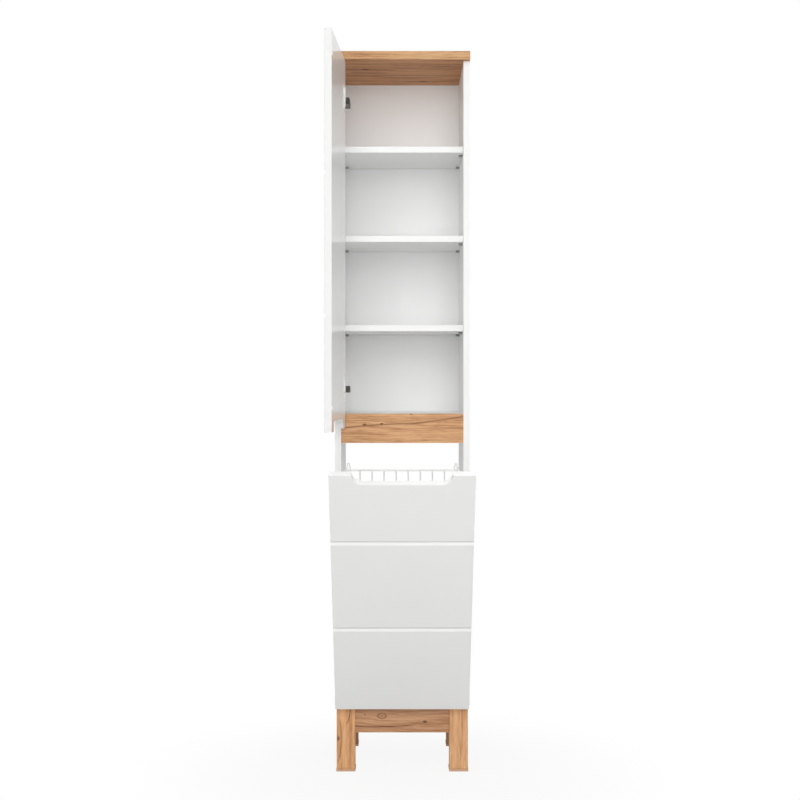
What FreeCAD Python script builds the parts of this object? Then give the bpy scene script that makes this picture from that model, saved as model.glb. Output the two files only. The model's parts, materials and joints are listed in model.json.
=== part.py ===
import FreeCAD, Part
import math
import os
import Sketcher

# Tall bathroom cabinet: oak top and legs, white carcass with shelves, a hinged door and a tilting hamper.
# X runs across the front, Y from the closed fronts to the wall, Z up from the floor, in millimetres.
doc = FreeCAD.newDocument("tall_cabinet")
sheet = doc.addObject("Spreadsheet::Sheet", "Sizes")

# How many of each repeated piece, and which gap between columns, counted from the middle, holds a clip
shelf_count = 3
ring_count = 4
front_columns = 10
side_columns = 8
clip_gap = 3

values = {
    # Overall sizes and boards
    "cabinet_width": 350,
    "cabinet_height": 1870,
    "cabinet_depth": 330,
    "top_width": 352,
    "top_board": 22,
    "carcass_board": 16,
    "front_board": 18,
    "back_board": 3,
    "front_gap": 2,
    "side_reveal": 2,
    "top_reveal": 2,
    "edge_round": 1.2,
    # Where the door and the hamper front meet
    "split_height": 894,
    "split_gap": 3,
    "grip_width": 240,
    "grip_depth": 26,
    "rail_height": 76,
    "rail_board": 16,
    # Grooves milled across the fronts
    "groove_width": 13,
    "groove_depth": 3.8,
    "door_groove_low": 276,
    "door_groove_high": 611,
    "hamper_groove_low": 260,
    "hamper_groove_high": 521,
    # Shelves and their pins
    "shelf_drop": 2,
    "shelf_setback": 17,
    "shelf_round": 0.6,
    "shelf_side_gap": 0.5,
    "shelf_rear_gap": 2,
    "pin_radius": 2.5,
    "peg_radius": 3,
    "pin_in_side": 8,
    "pin_reach": 10,
    "pin_from_edge": 40,
    # Back panel, bottom panel and stretcher
    "back_inset": 10,
    "back_seat": 6,
    "seat_gap": 0.2,
    "bottom_setback": 20,
    "stretcher_height": 100,
    "stretcher_centre": 650,
    "wall_hole_spacing": 200,
    "wall_hole_radius": 4,
    # Dowels
    "dowel_radius": 4,
    "dowel_short": 11,
    "dowel_long": 18,
    "press_gap": 0.02,
    "dowel_end_gap": 1,
    "dowel_from_front": 40,
    "dowel_from_rear": 40,
    "dowel_spread": 20,
    "dowel_clear": 10,
    "stretcher_spread": 30,
    # Leg frame
    "frame_height": 176,
    "leg_width": 48,
    "leg_inset": 4,
    "leg_setback": 10,
    "apron_height": 76,
    "apron_board": 18,
    "apron_setback": 6,
    "foot_height": 6.5,
    "foot_proud": 1.2,
    "spigot_radius": 5,
    "spigot_height": 12,
    "bolt_radius": 3,
    "bolt_head_radius": 7,
    "bolt_head_height": 4,
    "bolt_in_leg": 34,
    "bolt_from_front": 26,
    # Door hinges
    "door_angle": 93,
    "link_share": 0.45,
    "hinge_inset": 100,
    "cup_pin_edge": 10,
    "cup_pin_depth": 2,
    "arm_pin_side": 15,
    "arm_pin_back": 8,
    "cup_radius": 17.5,
    "cup_edge": 3,
    "cup_depth": 12,
    "cup_wall": 1.2,
    "flange_height": 61,
    "flange_width": 24,
    "flange_board": 1.2,
    "flange_shift": 6,
    "flange_screw_edge": 6,
    "cup_screw_head": 0.4,
    "cup_pin_short": 0.4,
    "cup_pin_radius": 1.5,
    "arm_pin_radius": 2,
    "running_gap": 0.05,
    "link_half": 1.6,
    "link_height": 10,
    "link_gap": 0.3,
    "link_arm_end": 4,
    "link_cup_end": 3,
    "link_bend_across": 12,
    "link_bend_out": 16,
    "arm_height": 17,
    "arm_length": 52,
    "arm_top": 22,
    "arm_wall": 2,
    "arm_ear": 5.5,
    "plate_board": 3,
    "plate_height": 52,
    "plate_width": 20,
    "plate_length": 54,
    "plate_ahead": 17,
    "plate_screw_back": 37,
    "plate_screw_spread": 16,
    "screw_radius": 2,
    "screw_head_radius": 3.6,
    "screw_head_height": 1.8,
    "screw_length": 11,
    # Hamper tilt
    "hamper_angle": 28.4,
    "hamper_lift": 3,
    "pivot_back": 4,
    "pivot_up": 1,
    "pivot_radius": 3,
    "pivot_boss": 5.5,
    "pivot_head": 5,
    "pivot_head_height": 2,
    "pivot_plate": 3,
    "bracket_gap": 0.5,
    "bracket_lift": 2,
    "bracket_height": 54,
    "bracket_width": 30,
    "bracket_screw_edge": 12,
    "sector_plate": 2.5,
    "sector_gap": 3.5,
    "stop_radius": 150,
    "stop_angle": 12,
    "stop_gap": 0.3,
    "sector_band": 10,
    "sector_strip": 20,
    "sector_low": 14,
    "sector_high": 160,
    "sector_flange": 24,
    "sector_screw_pitch": 55,
    "sector_boss_lap": 1,
    "slot_end_angle": 1.5,
    "band_start_angle": 2,
    "band_end_angle": 6,
    # Wire basket
    "basket_half": 142.5,
    "basket_front": 14,
    "basket_rear": 250,
    "basket_low": 30,
    "basket_drop": 155.5,
    "rim_radius": 2.5,
    "rim_corner": 7,
    "wire_radius": 1.8,
    "wire_pitch": 31,
    "weld_gap": 0.05,
    "weld_sink": 0.6,
    "ear_height": 18,
    "ear_half": 4.5,
    "ear_bend": 2.2,
    "ear_lift": 0.7,
    "ear_in": 5,
    "clip_width": 20,
    "clip_below": 12,
    "clip_above": 6,
    "clip_screw_drop": 6,
    "clip_base": 4,
    "clip_lip": 0.6,
    "top_ring_drop": 91.2,
    "buffer_radius": 5,
    "buffer_height": 1.6,
    "buffer_inset": 58,
}

for row, name in enumerate(values, start=1):
    sheet.set("A%d" % row, name)
    sheet.set("B%d" % row, str(values[name]))
    sheet.setAlias("B%d" % row, name)
doc.recompute()


class Size:
    """A length that carries its expression text along with its present value."""

    def __init__(self, text, value):
        self.text = text
        self.value = value

    def __add__(self, other):
        other = size(other)
        return Size("(%s + %s)" % (self.text, other.text), self.value + other.value)

    def __sub__(self, other):
        other = size(other)
        return Size("(%s - %s)" % (self.text, other.text), self.value - other.value)

    def __mul__(self, other):
        other = size(other)
        return Size("(%s * %s)" % (self.text, other.text), self.value * other.value)

    def __truediv__(self, other):
        other = size(other)
        return Size("(%s / %s)" % (self.text, other.text), self.value / other.value)

    def __radd__(self, other):
        return size(other) + self

    def __rsub__(self, other):
        return size(other) - self

    def __rmul__(self, other):
        return size(other) * self

    def __neg__(self):
        return Size("(0 - %s)" % self.text, -self.value)


def size(number):
    """A plain number as a Size; a Size is passed through."""
    if isinstance(number, Size):
        return number
    return Size(repr(float(number)), float(number))


def cell(name):
    """The named cell of the sheet as a Size."""
    return Size("Sizes.%s" % name, float(sheet.get(name)))


def cosine(angle):
    """Cosine of an angle in degrees."""
    return Size("cos(%s)" % angle.text, math.cos(math.radians(angle.value)))


def sine(angle):
    """Sine of an angle in degrees."""
    return Size("sin(%s)" % angle.text, math.sin(math.radians(angle.value)))


def root(number):
    """Square root."""
    return Size("sqrt(%s)" % number.text, math.sqrt(number.value))


def new_body(label):
    """An empty body named after the piece."""
    body = doc.addObject("PartDesign::Body", label)
    body.Label = label
    body.AllowCompound = True
    return body


def place(body, across=0, back=0, up=0, axis=None, angle=None):
    """Puts a piece in its place, turned about an axis through its own origin if one is given."""
    if axis is not None:
        body.Placement = FreeCAD.Placement(FreeCAD.Vector(), FreeCAD.Rotation(axis, angle.value))
        body.setExpression("Placement.Rotation.Angle", angle.text)
    body.setExpression("Placement.Base.x", size(across).text)
    body.setExpression("Placement.Base.y", size(back).text)
    body.setExpression("Placement.Base.z", size(up).text)


def fix_point(sketch, geometry, point, across, up):
    """Ties one point of a sketch to its two lengths from the sketch's origin."""
    for kind, length, axis in (("DistanceX", across, -2), ("DistanceY", up, -1)):
        if length.text == "0.0":
            sketch.addConstraint(Sketcher.Constraint("PointOnObject", geometry, point, axis))
        else:
            index = sketch.addConstraint(
                Sketcher.Constraint(kind, -1, 1, geometry, point, length.value))
            sketch.setExpression("Constraints[%d]" % index, length.text)


def vector(across, up):
    return FreeCAD.Vector(across.value, up.value, 0)


def draw_outline(sketch, points, closed=True):
    """Straight lines through the points."""
    points = [(size(across), size(up)) for across, up in points]
    last = len(points) if closed else len(points) - 1
    lines = []
    for number in range(last):
        start = vector(*points[number])
        end = vector(*points[(number + 1) % len(points)])
        lines.append(sketch.addGeometry(Part.LineSegment(start, end)))
        fix_point(sketch, lines[-1], 1, *points[number])
        if number:
            sketch.addConstraint(Sketcher.Constraint("Coincident", lines[-2], 2, lines[-1], 1))
    if closed:
        sketch.addConstraint(Sketcher.Constraint("Coincident", lines[-1], 2, lines[0], 1))
    else:
        fix_point(sketch, lines[-1], 2, *points[-1])


def draw_box(sketch, left, right, low, high):
    draw_outline(sketch, [(left, low), (right, low), (right, high), (left, high)])


def draw_disc(sketch, across, up, radius):
    across, up, radius = size(across), size(up), size(radius)
    circle = sketch.addGeometry(
        Part.Circle(vector(across, up), FreeCAD.Vector(0, 0, 1), radius.value))
    fix_point(sketch, circle, 3, across, up)
    index = sketch.addConstraint(Sketcher.Constraint("Radius", circle, radius.value))
    sketch.setExpression("Constraints[%d]" % index, radius.text)


def draw_arc(sketch, centre, radius, start, end):
    """An arc given by its centre, radius and two end points, counter-clockwise."""
    centre, start, end = [(size(a), size(b)) for a, b in (centre, start, end)]
    middle = vector(*centre)
    angles = []
    for point in (start, end):
        side = vector(*point) - middle
        angles.append(math.atan2(side.y, side.x))
    circle = Part.Circle(middle, FreeCAD.Vector(0, 0, 1), radius.value)
    arc = sketch.addGeometry(Part.ArcOfCircle(circle, angles[0], angles[1]))
    fix_point(sketch, arc, 3, *centre)
    fix_point(sketch, arc, 1, *start)
    return arc


def draw_slot(sketch, left, right, up, radius):
    """A level slot with round ends about its two centres."""
    left, right, up, radius = size(left), size(right), size(up), size(radius)
    top, low = up + radius, up - radius
    arcs = [draw_arc(sketch, (right, up), radius, (right, low), (right, top)),
            draw_arc(sketch, (left, up), radius, (left, top), (left, low))]
    for arc in arcs:
        sketch.addConstraint(Sketcher.Constraint("Vertical", arc, 2, arc, 3))
    upper = sketch.addGeometry(Part.LineSegment(vector(right, top), vector(left, top)))
    lower = sketch.addGeometry(Part.LineSegment(vector(left, low), vector(right, low)))
    for first, second in ((arcs[0], upper), (upper, arcs[1]), (arcs[1], lower), (lower, arcs[0])):
        sketch.addConstraint(Sketcher.Constraint("Coincident", first, 2, second, 1))


def draw_band(sketch, inner, outer, start, end):
    """Part of a ring about the origin; angles run in degrees from up towards the right."""
    def point(radius, angle):
        return radius * sine(angle), radius * cosine(angle)
    corners = [point(inner, end), point(inner, start), point(outer, end), point(outer, start)]
    arcs = []
    for radius, first, second in ((inner, corners[0], corners[1]), (outer, corners[2], corners[3])):
        arcs.append(draw_arc(sketch, (0, 0), radius, first, second))
        end_across = second[0]
        index = sketch.addConstraint(
            Sketcher.Constraint("DistanceX", -1, 1, arcs[-1], 2, end_across.value))
        sketch.setExpression("Constraints[%d]" % index, end_across.text)
    for number, (first, second) in enumerate(((corners[0], corners[2]), (corners[1], corners[3]))):
        line = sketch.addGeometry(Part.LineSegment(vector(*first), vector(*second)))
        for point_on_line, arc in ((1, arcs[0]), (2, arcs[1])):
            sketch.addConstraint(
                Sketcher.Constraint("Coincident", line, point_on_line, arc, number + 1))


def draw_ring_path(sketch, left, right, low, high, radius):
    """A rectangle with round corners, as a path."""
    centres = [(right - radius, low + radius), (right - radius, high - radius),
               (left + radius, high - radius), (left + radius, low + radius)]
    arcs = []
    for number, (across, up) in enumerate(centres):
        circle = Part.Circle(vector(across, up), FreeCAD.Vector(0, 0, 1), radius.value)
        first = math.pi * (number - 1) / 2
        arcs.append(sketch.addGeometry(Part.ArcOfCircle(circle, first, first + math.pi / 2)))
        fix_point(sketch, arcs[-1], 3, across, up)
        index = sketch.addConstraint(Sketcher.Constraint("Radius", arcs[-1], radius.value))
        sketch.setExpression("Constraints[%d]" % index, radius.text)
        kinds = ("Vertical", "Horizontal") if number % 2 == 0 else ("Horizontal", "Vertical")
        sketch.addConstraint(Sketcher.Constraint(kinds[0], arcs[-1], 1, arcs[-1], 3))
        sketch.addConstraint(Sketcher.Constraint(kinds[1], arcs[-1], 2, arcs[-1], 3))
    for number in range(4):
        following = (number + 1) % 4
        ends = []
        for arc, which in ((arcs[number], "EndPoint"), (arcs[following], "StartPoint")):
            ends.append(getattr(sketch.Geometry[arc], which))
        line = sketch.addGeometry(Part.LineSegment(*ends))
        sketch.addConstraint(Sketcher.Constraint("Coincident", arcs[number], 2, line, 1))
        sketch.addConstraint(Sketcher.Constraint("Coincident", line, 2, arcs[following], 1))


def draw_peak(sketch, middle, low, half, height, bend):
    """Two slanted legs joined by a round bend at the top, as a path."""
    crown = low + height - bend
    rise = (crown - low).value
    reach = math.hypot(half.value, rise)
    lean = math.atan2(half.value, rise) - math.asin(bend.value / reach)
    circle = Part.Circle(vector(middle, crown), FreeCAD.Vector(0, 0, 1), bend.value)
    arc = sketch.addGeometry(Part.ArcOfCircle(circle, lean, math.pi - lean))
    fix_point(sketch, arc, 3, middle, crown)
    index = sketch.addConstraint(Sketcher.Constraint("Radius", arc, bend.value))
    sketch.setExpression("Constraints[%d]" % index, bend.text)
    bends = (sketch.Geometry[arc].StartPoint, sketch.Geometry[arc].EndPoint)
    for number, foot in enumerate((middle + half, middle - half)):
        leg = sketch.addGeometry(Part.LineSegment(vector(foot, low), bends[number]))
        fix_point(sketch, leg, 1, foot, low)
        sketch.addConstraint(Sketcher.Constraint("Tangent", leg, 2, arc, number + 1))


def new_sketch(body, plane, start=0):
    """A sketch on one of the body's own planes, moved along the plane's axis."""
    start = size(start)
    sketch = body.newObject("Sketcher::SketchObject", "%s_sketch" % body.Name)
    origin = [item for item in body.Origin.OriginFeatures if item.Role == "%s_Plane" % plane][0]
    sketch.AttachmentSupport = [(origin, "")]
    sketch.MapMode = "FlatFace"
    if plane == "XZ":
        start = -start
    sketch.AttachmentOffset = FreeCAD.Placement(
        FreeCAD.Vector(0, 0, start.value), FreeCAD.Rotation())
    sketch.setExpression("AttachmentOffset.Base.z", start.text)
    return sketch


def extrude(body, plane, start, length, drawings, cut=False):
    """Adds or cuts the drawn outlines, from start onwards along the plane's axis."""
    sketch = new_sketch(body, plane, start)
    for draw, details in drawings:
        draw(sketch, *details)
    kind = "Pocket" if cut else "Pad"
    feature = body.newObject("PartDesign::%s" % kind, "%s_%s" % (body.Name, kind.lower()))
    feature.Profile = sketch
    feature.setExpression("Length", size(length).text)
    feature.Reversed = (plane == "XZ") != cut
    sketch.Visibility = False
    return feature


def cut_away(body, plane, start, length, drawings):
    return extrude(body, plane, start, length, drawings, cut=True)


def sweep(body, plane, start, draw_path, profile_plane, profile_start, across, up, radius):
    """A round wire along a path."""
    path = new_sketch(body, plane, start)
    draw_path(path)
    profile = new_sketch(body, profile_plane, profile_start)
    draw_disc(profile, across, up, radius)
    pipe = body.newObject("PartDesign::AdditivePipe", "%s_pipe" % body.Name)
    pipe.Profile = profile
    pipe.Spine = (path, [])
    return pipe


def round_edges(body, feature, radius, wanted):
    """Rounds the edges of the latest feature whose two ends pass the test."""
    doc.recompute()
    names = []
    for number, edge in enumerate(feature.Shape.Edges, start=1):
        if all(wanted(vertex.Point) for vertex in edge.Vertexes):
            names.append("Edge%d" % number)
    fillet = body.newObject("PartDesign::Fillet", "%s_round" % body.Name)
    fillet.Base = (feature, names)
    fillet.setExpression("Radius", radius.text)
    return fillet


c = {name: cell(name) for name in values}

# Levels and planes that several pieces share
half_width = c["cabinet_width"] / 2
inner_half = half_width - c["carcass_board"]
front_inside = c["front_board"]
carcass_front = c["front_board"] + c["front_gap"]
carcass_depth = c["cabinet_depth"] - carcass_front
top_underside = c["cabinet_height"] - c["top_board"]
side_height = top_underside - c["frame_height"]
rail_low = c["split_height"] - c["rail_height"] / 2
rail_high = c["split_height"] + c["rail_height"] / 2
floor_low = rail_high - c["carcass_board"]
bottom_high = c["frame_height"] + c["carcass_board"]
back_front = c["cabinet_depth"] - c["back_inset"] - c["back_board"]
shelf_pitch = (top_underside - rail_high + c["carcass_board"]) / (shelf_count + 1)
shelf_lows = []
for number in range(shelf_count):
    shelf_lows.append(rail_high + shelf_pitch * (number + 1) - c["carcass_board"] - c["shelf_drop"])
shelf_front = carcass_front + c["shelf_setback"]
shelf_back = back_front - c["shelf_rear_gap"]
pin_rows = [shelf_front + c["pin_from_edge"], shelf_back - c["pin_from_edge"]]
stretcher_low = c["stretcher_centre"] - c["stretcher_height"] / 2
stretcher_high = c["stretcher_centre"] + c["stretcher_height"] / 2
stretcher_front = c["cabinet_depth"] - c["carcass_board"]
rail_back = carcass_front + c["rail_board"]
leg_front = carcass_front + c["leg_setback"]
leg_back = leg_front + c["leg_width"]
door_low = c["split_height"] + c["split_gap"] / 2
door_high = top_underside - c["top_reveal"]
hamper_low = c["frame_height"] + c["hamper_lift"]
hamper_high = c["split_height"] - c["split_gap"] / 2
front_half = half_width - c["side_reveal"]
front_width = front_half * 2
hinge_levels = [door_high - c["hinge_inset"], door_low + c["hinge_inset"]]
hinge_names = ["upper", "lower"]
pivot_y = carcass_front + c["pivot_back"]
pivot_z = hamper_low + c["pivot_up"]
arm_pin_x = c["arm_pin_side"] - inner_half
arm_pin_y = carcass_front + c["arm_pin_back"]
cup_pin_x = c["cup_pin_edge"] - front_half
cup_pin_y = front_inside - c["cup_pin_depth"]
stop_y = pivot_y + c["stop_radius"] * sine(c["stop_angle"])
stop_z = pivot_z + c["stop_radius"] * cosine(c["stop_angle"])
plate_screw_y = carcass_front + c["plate_screw_back"]
bracket_low = bottom_high + c["bracket_lift"]
bracket_high = bracket_low + c["bracket_height"]
bracket_back = carcass_front + c["bracket_width"]
bracket_screw_y = bracket_back - c["bracket_screw_edge"]
bracket_screw_levels = [bracket_low + c["bracket_screw_edge"], bracket_high - c["bracket_screw_edge"]]
tight_dowel = c["dowel_radius"] + c["press_gap"]
dowel_in_side = c["dowel_short"] + c["dowel_end_gap"]
dowel_in_board = c["dowel_long"] + c["dowel_end_gap"]

# Dowels that join the boards to the sides, as distance back and height
level_dowels = []
for board_middle, front_edge in ((floor_low + c["carcass_board"] / 2, rail_back),
                                 (c["frame_height"] + c["carcass_board"] / 2, leg_back)):
    level_dowels.append((front_edge + c["dowel_from_front"], board_middle))
    level_dowels.append((c["cabinet_depth"] - c["dowel_from_rear"], board_middle))
rail_dowels = []
for shift in (-1, 1):
    rail_dowels.append((carcass_front + c["rail_board"] / 2,
                        c["split_height"] + c["dowel_spread"] * shift))
stretcher_dowels = []
for shift in (-1, 1):
    stretcher_dowels.append((stretcher_front + c["carcass_board"] / 2,
                             c["stretcher_centre"] + c["stretcher_spread"] * shift))
side_dowels = level_dowels + rail_dowels + stretcher_dowels
top_dowel_rows = [carcass_front + c["dowel_from_front"], c["cabinet_depth"] - c["dowel_from_rear"]]


def discs(points, radius):
    """Circle drawings of one radius about several points."""
    return [(draw_disc, (across, up, radius)) for across, up in points]


# Sides of the carcass
def make_side(label, hand):
    """A side board with its blind holes and the groove for the back panel on the inner face."""
    board = c["carcass_board"]
    body = new_body(label)
    extrude(body, "YZ", 0, board, [(draw_box, (0, carcass_depth, 0, side_height))])

    def from_inside(depth, drawings):
        start = board - depth if hand < 0 else 0
        cut_away(body, "YZ", start, depth, drawings)

    def local(points):
        return [(back - carcass_front, up - c["frame_height"]) for back, up in points]

    seat_low = floor_low + c["carcass_board"] - c["back_seat"] - c["frame_height"]
    seat_front = back_front - carcass_front - c["seat_gap"]
    seat_back = seat_front + c["back_board"] + c["seat_gap"] * 2
    from_inside(c["back_seat"], [(draw_box, (seat_front, seat_back, seat_low, side_height))])
    pins = [(row, low - c["peg_radius"]) for low in shelf_lows for row in pin_rows]
    from_inside(c["pin_in_side"] + c["dowel_end_gap"],
                discs(local(pins), c["pin_radius"] + c["press_gap"]))
    from_inside(dowel_in_side, discs(local(side_dowels), tight_dowel))
    screws = [(bracket_screw_y, level) for level in bracket_screw_levels]
    if hand < 0:
        for level in hinge_levels:
            for shift in (-1, 1):
                screws.append((plate_screw_y, level + c["plate_screw_spread"] * shift))
    from_inside(c["screw_length"], discs(local(screws), c["screw_radius"] + c["press_gap"]))
    from_inside(c["screw_length"], discs(local([(stop_y, stop_z)]), c["pivot_radius"] + c["press_gap"]))
    rows = [(board / 2, row - carcass_front) for row in top_dowel_rows]
    cut_away(body, "XY", side_height - dowel_in_board, dowel_in_board, discs(rows, tight_dowel))
    across = -half_width if hand < 0 else inner_half
    place(body, across, carcass_front, c["frame_height"])


make_side("left_side_panel", -1)
make_side("right_side_panel", 1)

# Oak top with its overhang over the fronts
top = new_body("top_panel")
top_half = c["top_width"] / 2
slab = extrude(top, "XY", 0, c["top_board"],
               [(draw_box, (-top_half, top_half, 0, c["cabinet_depth"]))])
round_edges(top, slab, c["edge_round"],
            lambda point: point.y < 1e-6 or abs(point.x) > top_half.value - 1e-6)
side_middle = half_width - c["carcass_board"] / 2
top_points = [(side_middle * hand, row) for hand in (-1, 1) for row in top_dowel_rows]
cut_away(top, "XY", 0, dowel_in_side, discs(top_points, tight_dowel))
seat = c["back_seat"] - c["seat_gap"]
cut_away(top, "XY", 0, c["back_seat"], [(draw_box, (
    -inner_half - c["back_seat"], inner_half + c["back_seat"],
    back_front - c["seat_gap"], back_front + c["back_board"] + c["seat_gap"]))])
place(top, 0, 0, top_underside)


# Boards that span between the sides
def make_board(label, front, back, low, high, dowels):
    """A board between the sides, with dowel holes in both ends."""
    body = new_body(label)
    extrude(body, "XY", low, high - low, [(draw_box, (-inner_half, inner_half, front, back))])
    for start in (-inner_half, inner_half - dowel_in_board):
        cut_away(body, "YZ", start, dowel_in_board, discs(dowels, tight_dowel))
    return body


compartment_floor = make_board("compartment_floor", rail_back, c["cabinet_depth"], floor_low, rail_high,
                               level_dowels[:2])
cut_away(compartment_floor, "XY", rail_high - c["back_seat"], c["back_seat"], [(draw_box, (
    -inner_half, inner_half, back_front - c["seat_gap"],
    back_front + c["back_board"] + c["seat_gap"]))])
make_board("cross_rail", carcass_front, rail_back, rail_low, rail_high, rail_dowels)
bottom_panel = make_board("bottom_panel", carcass_front + c["bottom_setback"], c["cabinet_depth"],
                          c["frame_height"], bottom_high, level_dowels[2:])
stretcher = make_board("rear_stretcher", stretcher_front, c["cabinet_depth"],
                       stretcher_low, stretcher_high, stretcher_dowels)
wall_points = [(c["wall_hole_spacing"] / 2 * hand, c["stretcher_centre"]) for hand in (-1, 1)]
cut_away(stretcher, "XZ", stretcher_front, c["carcass_board"], discs(wall_points, c["wall_hole_radius"]))

# Thin back panel of the upper compartment, seated in grooves all round
back_panel = new_body("back_panel")
back_half = inner_half + seat
extrude(back_panel, "XZ", back_front, c["back_board"],
        [(draw_box, (-back_half, back_half, rail_high - seat, top_underside + seat))])

# Shelves, each on four pins
shelf_names = ["lower_shelf", "middle_shelf", "upper_shelf"]
for label, low in zip(shelf_names, shelf_lows):
    shelf = new_body(label)
    shelf_half = inner_half - c["shelf_side_gap"]
    board = extrude(shelf, "XY", 0, c["carcass_board"],
                    [(draw_box, (-shelf_half, shelf_half, 0, shelf_back - shelf_front))])
    round_edges(shelf, board, c["shelf_round"], lambda point: point.y < 1e-6)
    place(shelf, 0, shelf_front, low)
shelf_pins = new_body("shelf_pins")
pin_points = [(row, low - c["peg_radius"]) for low in shelf_lows for row in pin_rows]
for hand in (-1, 1):
    inside = -inner_half if hand < 0 else inner_half - c["pin_reach"]
    socket = -inner_half - c["pin_in_side"] if hand < 0 else inner_half
    extrude(shelf_pins, "YZ", inside, c["pin_reach"], discs(pin_points, c["peg_radius"]))
    extrude(shelf_pins, "YZ", socket, c["pin_in_side"], discs(pin_points, c["pin_radius"]))

# Dowels of the carcass
dowels = new_body("carcass_dowels")
for hand in (-1, 1):
    start = -inner_half - c["dowel_short"] if hand < 0 else inner_half - c["dowel_long"]
    extrude(dowels, "YZ", start, c["dowel_short"] + c["dowel_long"], discs(side_dowels, c["dowel_radius"]))
extrude(dowels, "XY", top_underside - c["dowel_long"], c["dowel_short"] + c["dowel_long"],
        discs(top_points, c["dowel_radius"]))

# Leg frame under the carcass
leg_top = c["frame_height"] - c["foot_height"]
leg_outer = half_width - c["leg_inset"]
leg_inner = leg_outer - c["leg_width"]
leg_rows = {"front": leg_front, "rear": c["cabinet_depth"] - c["leg_width"]}
apron_low = c["frame_height"] - c["apron_height"]
apron_levels = [apron_low + c["dowel_spread"], c["frame_height"] - c["dowel_spread"]]
front_apron_y = leg_front + c["apron_setback"]
rear_apron_y = c["cabinet_depth"] - c["apron_setback"] - c["apron_board"]
side_apron_x = leg_outer - c["apron_setback"] - c["apron_board"]
apron_middles = {"front": front_apron_y + c["apron_board"] / 2, "rear": rear_apron_y + c["apron_board"] / 2}
side_apron_middle = side_apron_x + c["apron_board"] / 2
bolt_x = leg_outer - c["leg_width"] / 2
bolt_rows = {"front": leg_front + c["bolt_from_front"], "rear": leg_rows["rear"] + c["leg_width"] / 2}
apron_dowel_reach = c["dowel_short"]
apron_dowel_hole = apron_dowel_reach + c["dowel_end_gap"]

for side, hand in (("left", -1), ("right", 1)):
    for row, front in leg_rows.items():
        leg = new_body("%s_%s_leg" % (row, side))
        low_x = -leg_outer if hand < 0 else leg_inner
        block = extrude(leg, "XY", c["foot_height"], leg_top,
                        [(draw_box, (low_x, low_x + c["leg_width"], front, front + c["leg_width"]))])
        round_edges(leg, block, c["edge_round"], lambda point: True)
        middle = (bolt_x * hand, front + c["leg_width"] / 2)
        cut_away(leg, "XY", c["foot_height"], c["spigot_height"] + c["dowel_end_gap"],
                 discs([middle], c["spigot_radius"] + c["press_gap"]))
        cut_away(leg, "XY", c["frame_height"] - c["bolt_in_leg"] - c["dowel_end_gap"],
                 c["bolt_in_leg"] + c["dowel_end_gap"],
                 discs([(bolt_x * hand, bolt_rows[row])], c["bolt_radius"] + c["press_gap"]))
        inner_start = -leg_inner - apron_dowel_hole if hand < 0 else leg_inner
        across_points = [(apron_middles[row], level) for level in apron_levels]
        cut_away(leg, "YZ", inner_start, apron_dowel_hole, discs(across_points, tight_dowel))
        back_start = front + c["leg_width"] - apron_dowel_hole if row == "front" else front
        back_points = [(side_apron_middle * hand, level + c["dowel_clear"]) for level in apron_levels]
        cut_away(leg, "XZ", back_start, apron_dowel_hole, discs(back_points, tight_dowel))

        foot = new_body("%s_%s_foot" % (row, side))
        proud = c["foot_proud"]
        cap = extrude(foot, "XY", 0, c["foot_height"], [(draw_box, (
            low_x - proud, low_x + c["leg_width"] + proud, front - proud, front + c["leg_width"] + proud))])
        round_edges(foot, cap, c["edge_round"], lambda point: True)
        extrude(foot, "XY", c["foot_height"], c["spigot_height"], discs([middle], c["spigot_radius"]))

side_apron_front = leg_back
side_apron_back = leg_rows["rear"]
for row, front in (("front", front_apron_y), ("rear", rear_apron_y)):
    apron = new_body("%s_apron" % row)
    extrude(apron, "XY", apron_low, c["apron_height"],
            [(draw_box, (-leg_inner, leg_inner, front, front + c["apron_board"]))])
    points = [(apron_middles[row], level) for level in apron_levels]
    for start in (-leg_inner, leg_inner - apron_dowel_hole):
        cut_away(apron, "YZ", start, apron_dowel_hole, discs(points, tight_dowel))
for side, hand in (("left", -1), ("right", 1)):
    apron = new_body("%s_apron" % side)
    low_x = side_apron_x if hand > 0 else -side_apron_x - c["apron_board"]
    extrude(apron, "XY", apron_low, c["apron_height"],
            [(draw_box, (low_x, low_x + c["apron_board"], side_apron_front, side_apron_back))])
    points = [(side_apron_middle * hand, level + c["dowel_clear"]) for level in apron_levels]
    for start in (side_apron_front, side_apron_back - apron_dowel_hole):
        cut_away(apron, "XZ", start, apron_dowel_hole, discs(points, tight_dowel))

frame_dowels = new_body("frame_dowels")
across_points = [(apron_middles[row], level) for row in apron_middles for level in apron_levels]
for joint in (-leg_inner, leg_inner):
    extrude(frame_dowels, "YZ", joint - apron_dowel_reach, apron_dowel_reach * 2,
            discs(across_points, c["dowel_radius"]))
back_points = [(side_apron_middle * hand, level + c["dowel_clear"])
               for hand in (-1, 1) for level in apron_levels]
for joint in (side_apron_front, side_apron_back):
    extrude(frame_dowels, "XZ", joint - apron_dowel_reach, apron_dowel_reach * 2,
            discs(back_points, c["dowel_radius"]))

# Bolts through the bottom panel into the legs
bolt_points = [(bolt_x * hand, bolt_rows[row]) for hand in (-1, 1) for row in leg_rows]
cut_away(bottom_panel, "XY", c["frame_height"], c["carcass_board"],
         discs(bolt_points, c["bolt_radius"] + c["press_gap"]))
cut_away(bottom_panel, "XY", bottom_high - c["bolt_head_height"], c["bolt_head_height"],
         discs(bolt_points, c["bolt_head_radius"] + c["seat_gap"]))
bolts = new_body("frame_bolts")
extrude(bolts, "XY", bottom_high - c["bolt_head_height"], c["bolt_head_height"],
        discs(bolt_points, c["bolt_head_radius"]))
extrude(bolts, "XY", c["frame_height"] - c["bolt_in_leg"],
        c["bolt_in_leg"] + c["carcass_board"] - c["bolt_head_height"], discs(bolt_points, c["bolt_radius"]))


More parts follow.
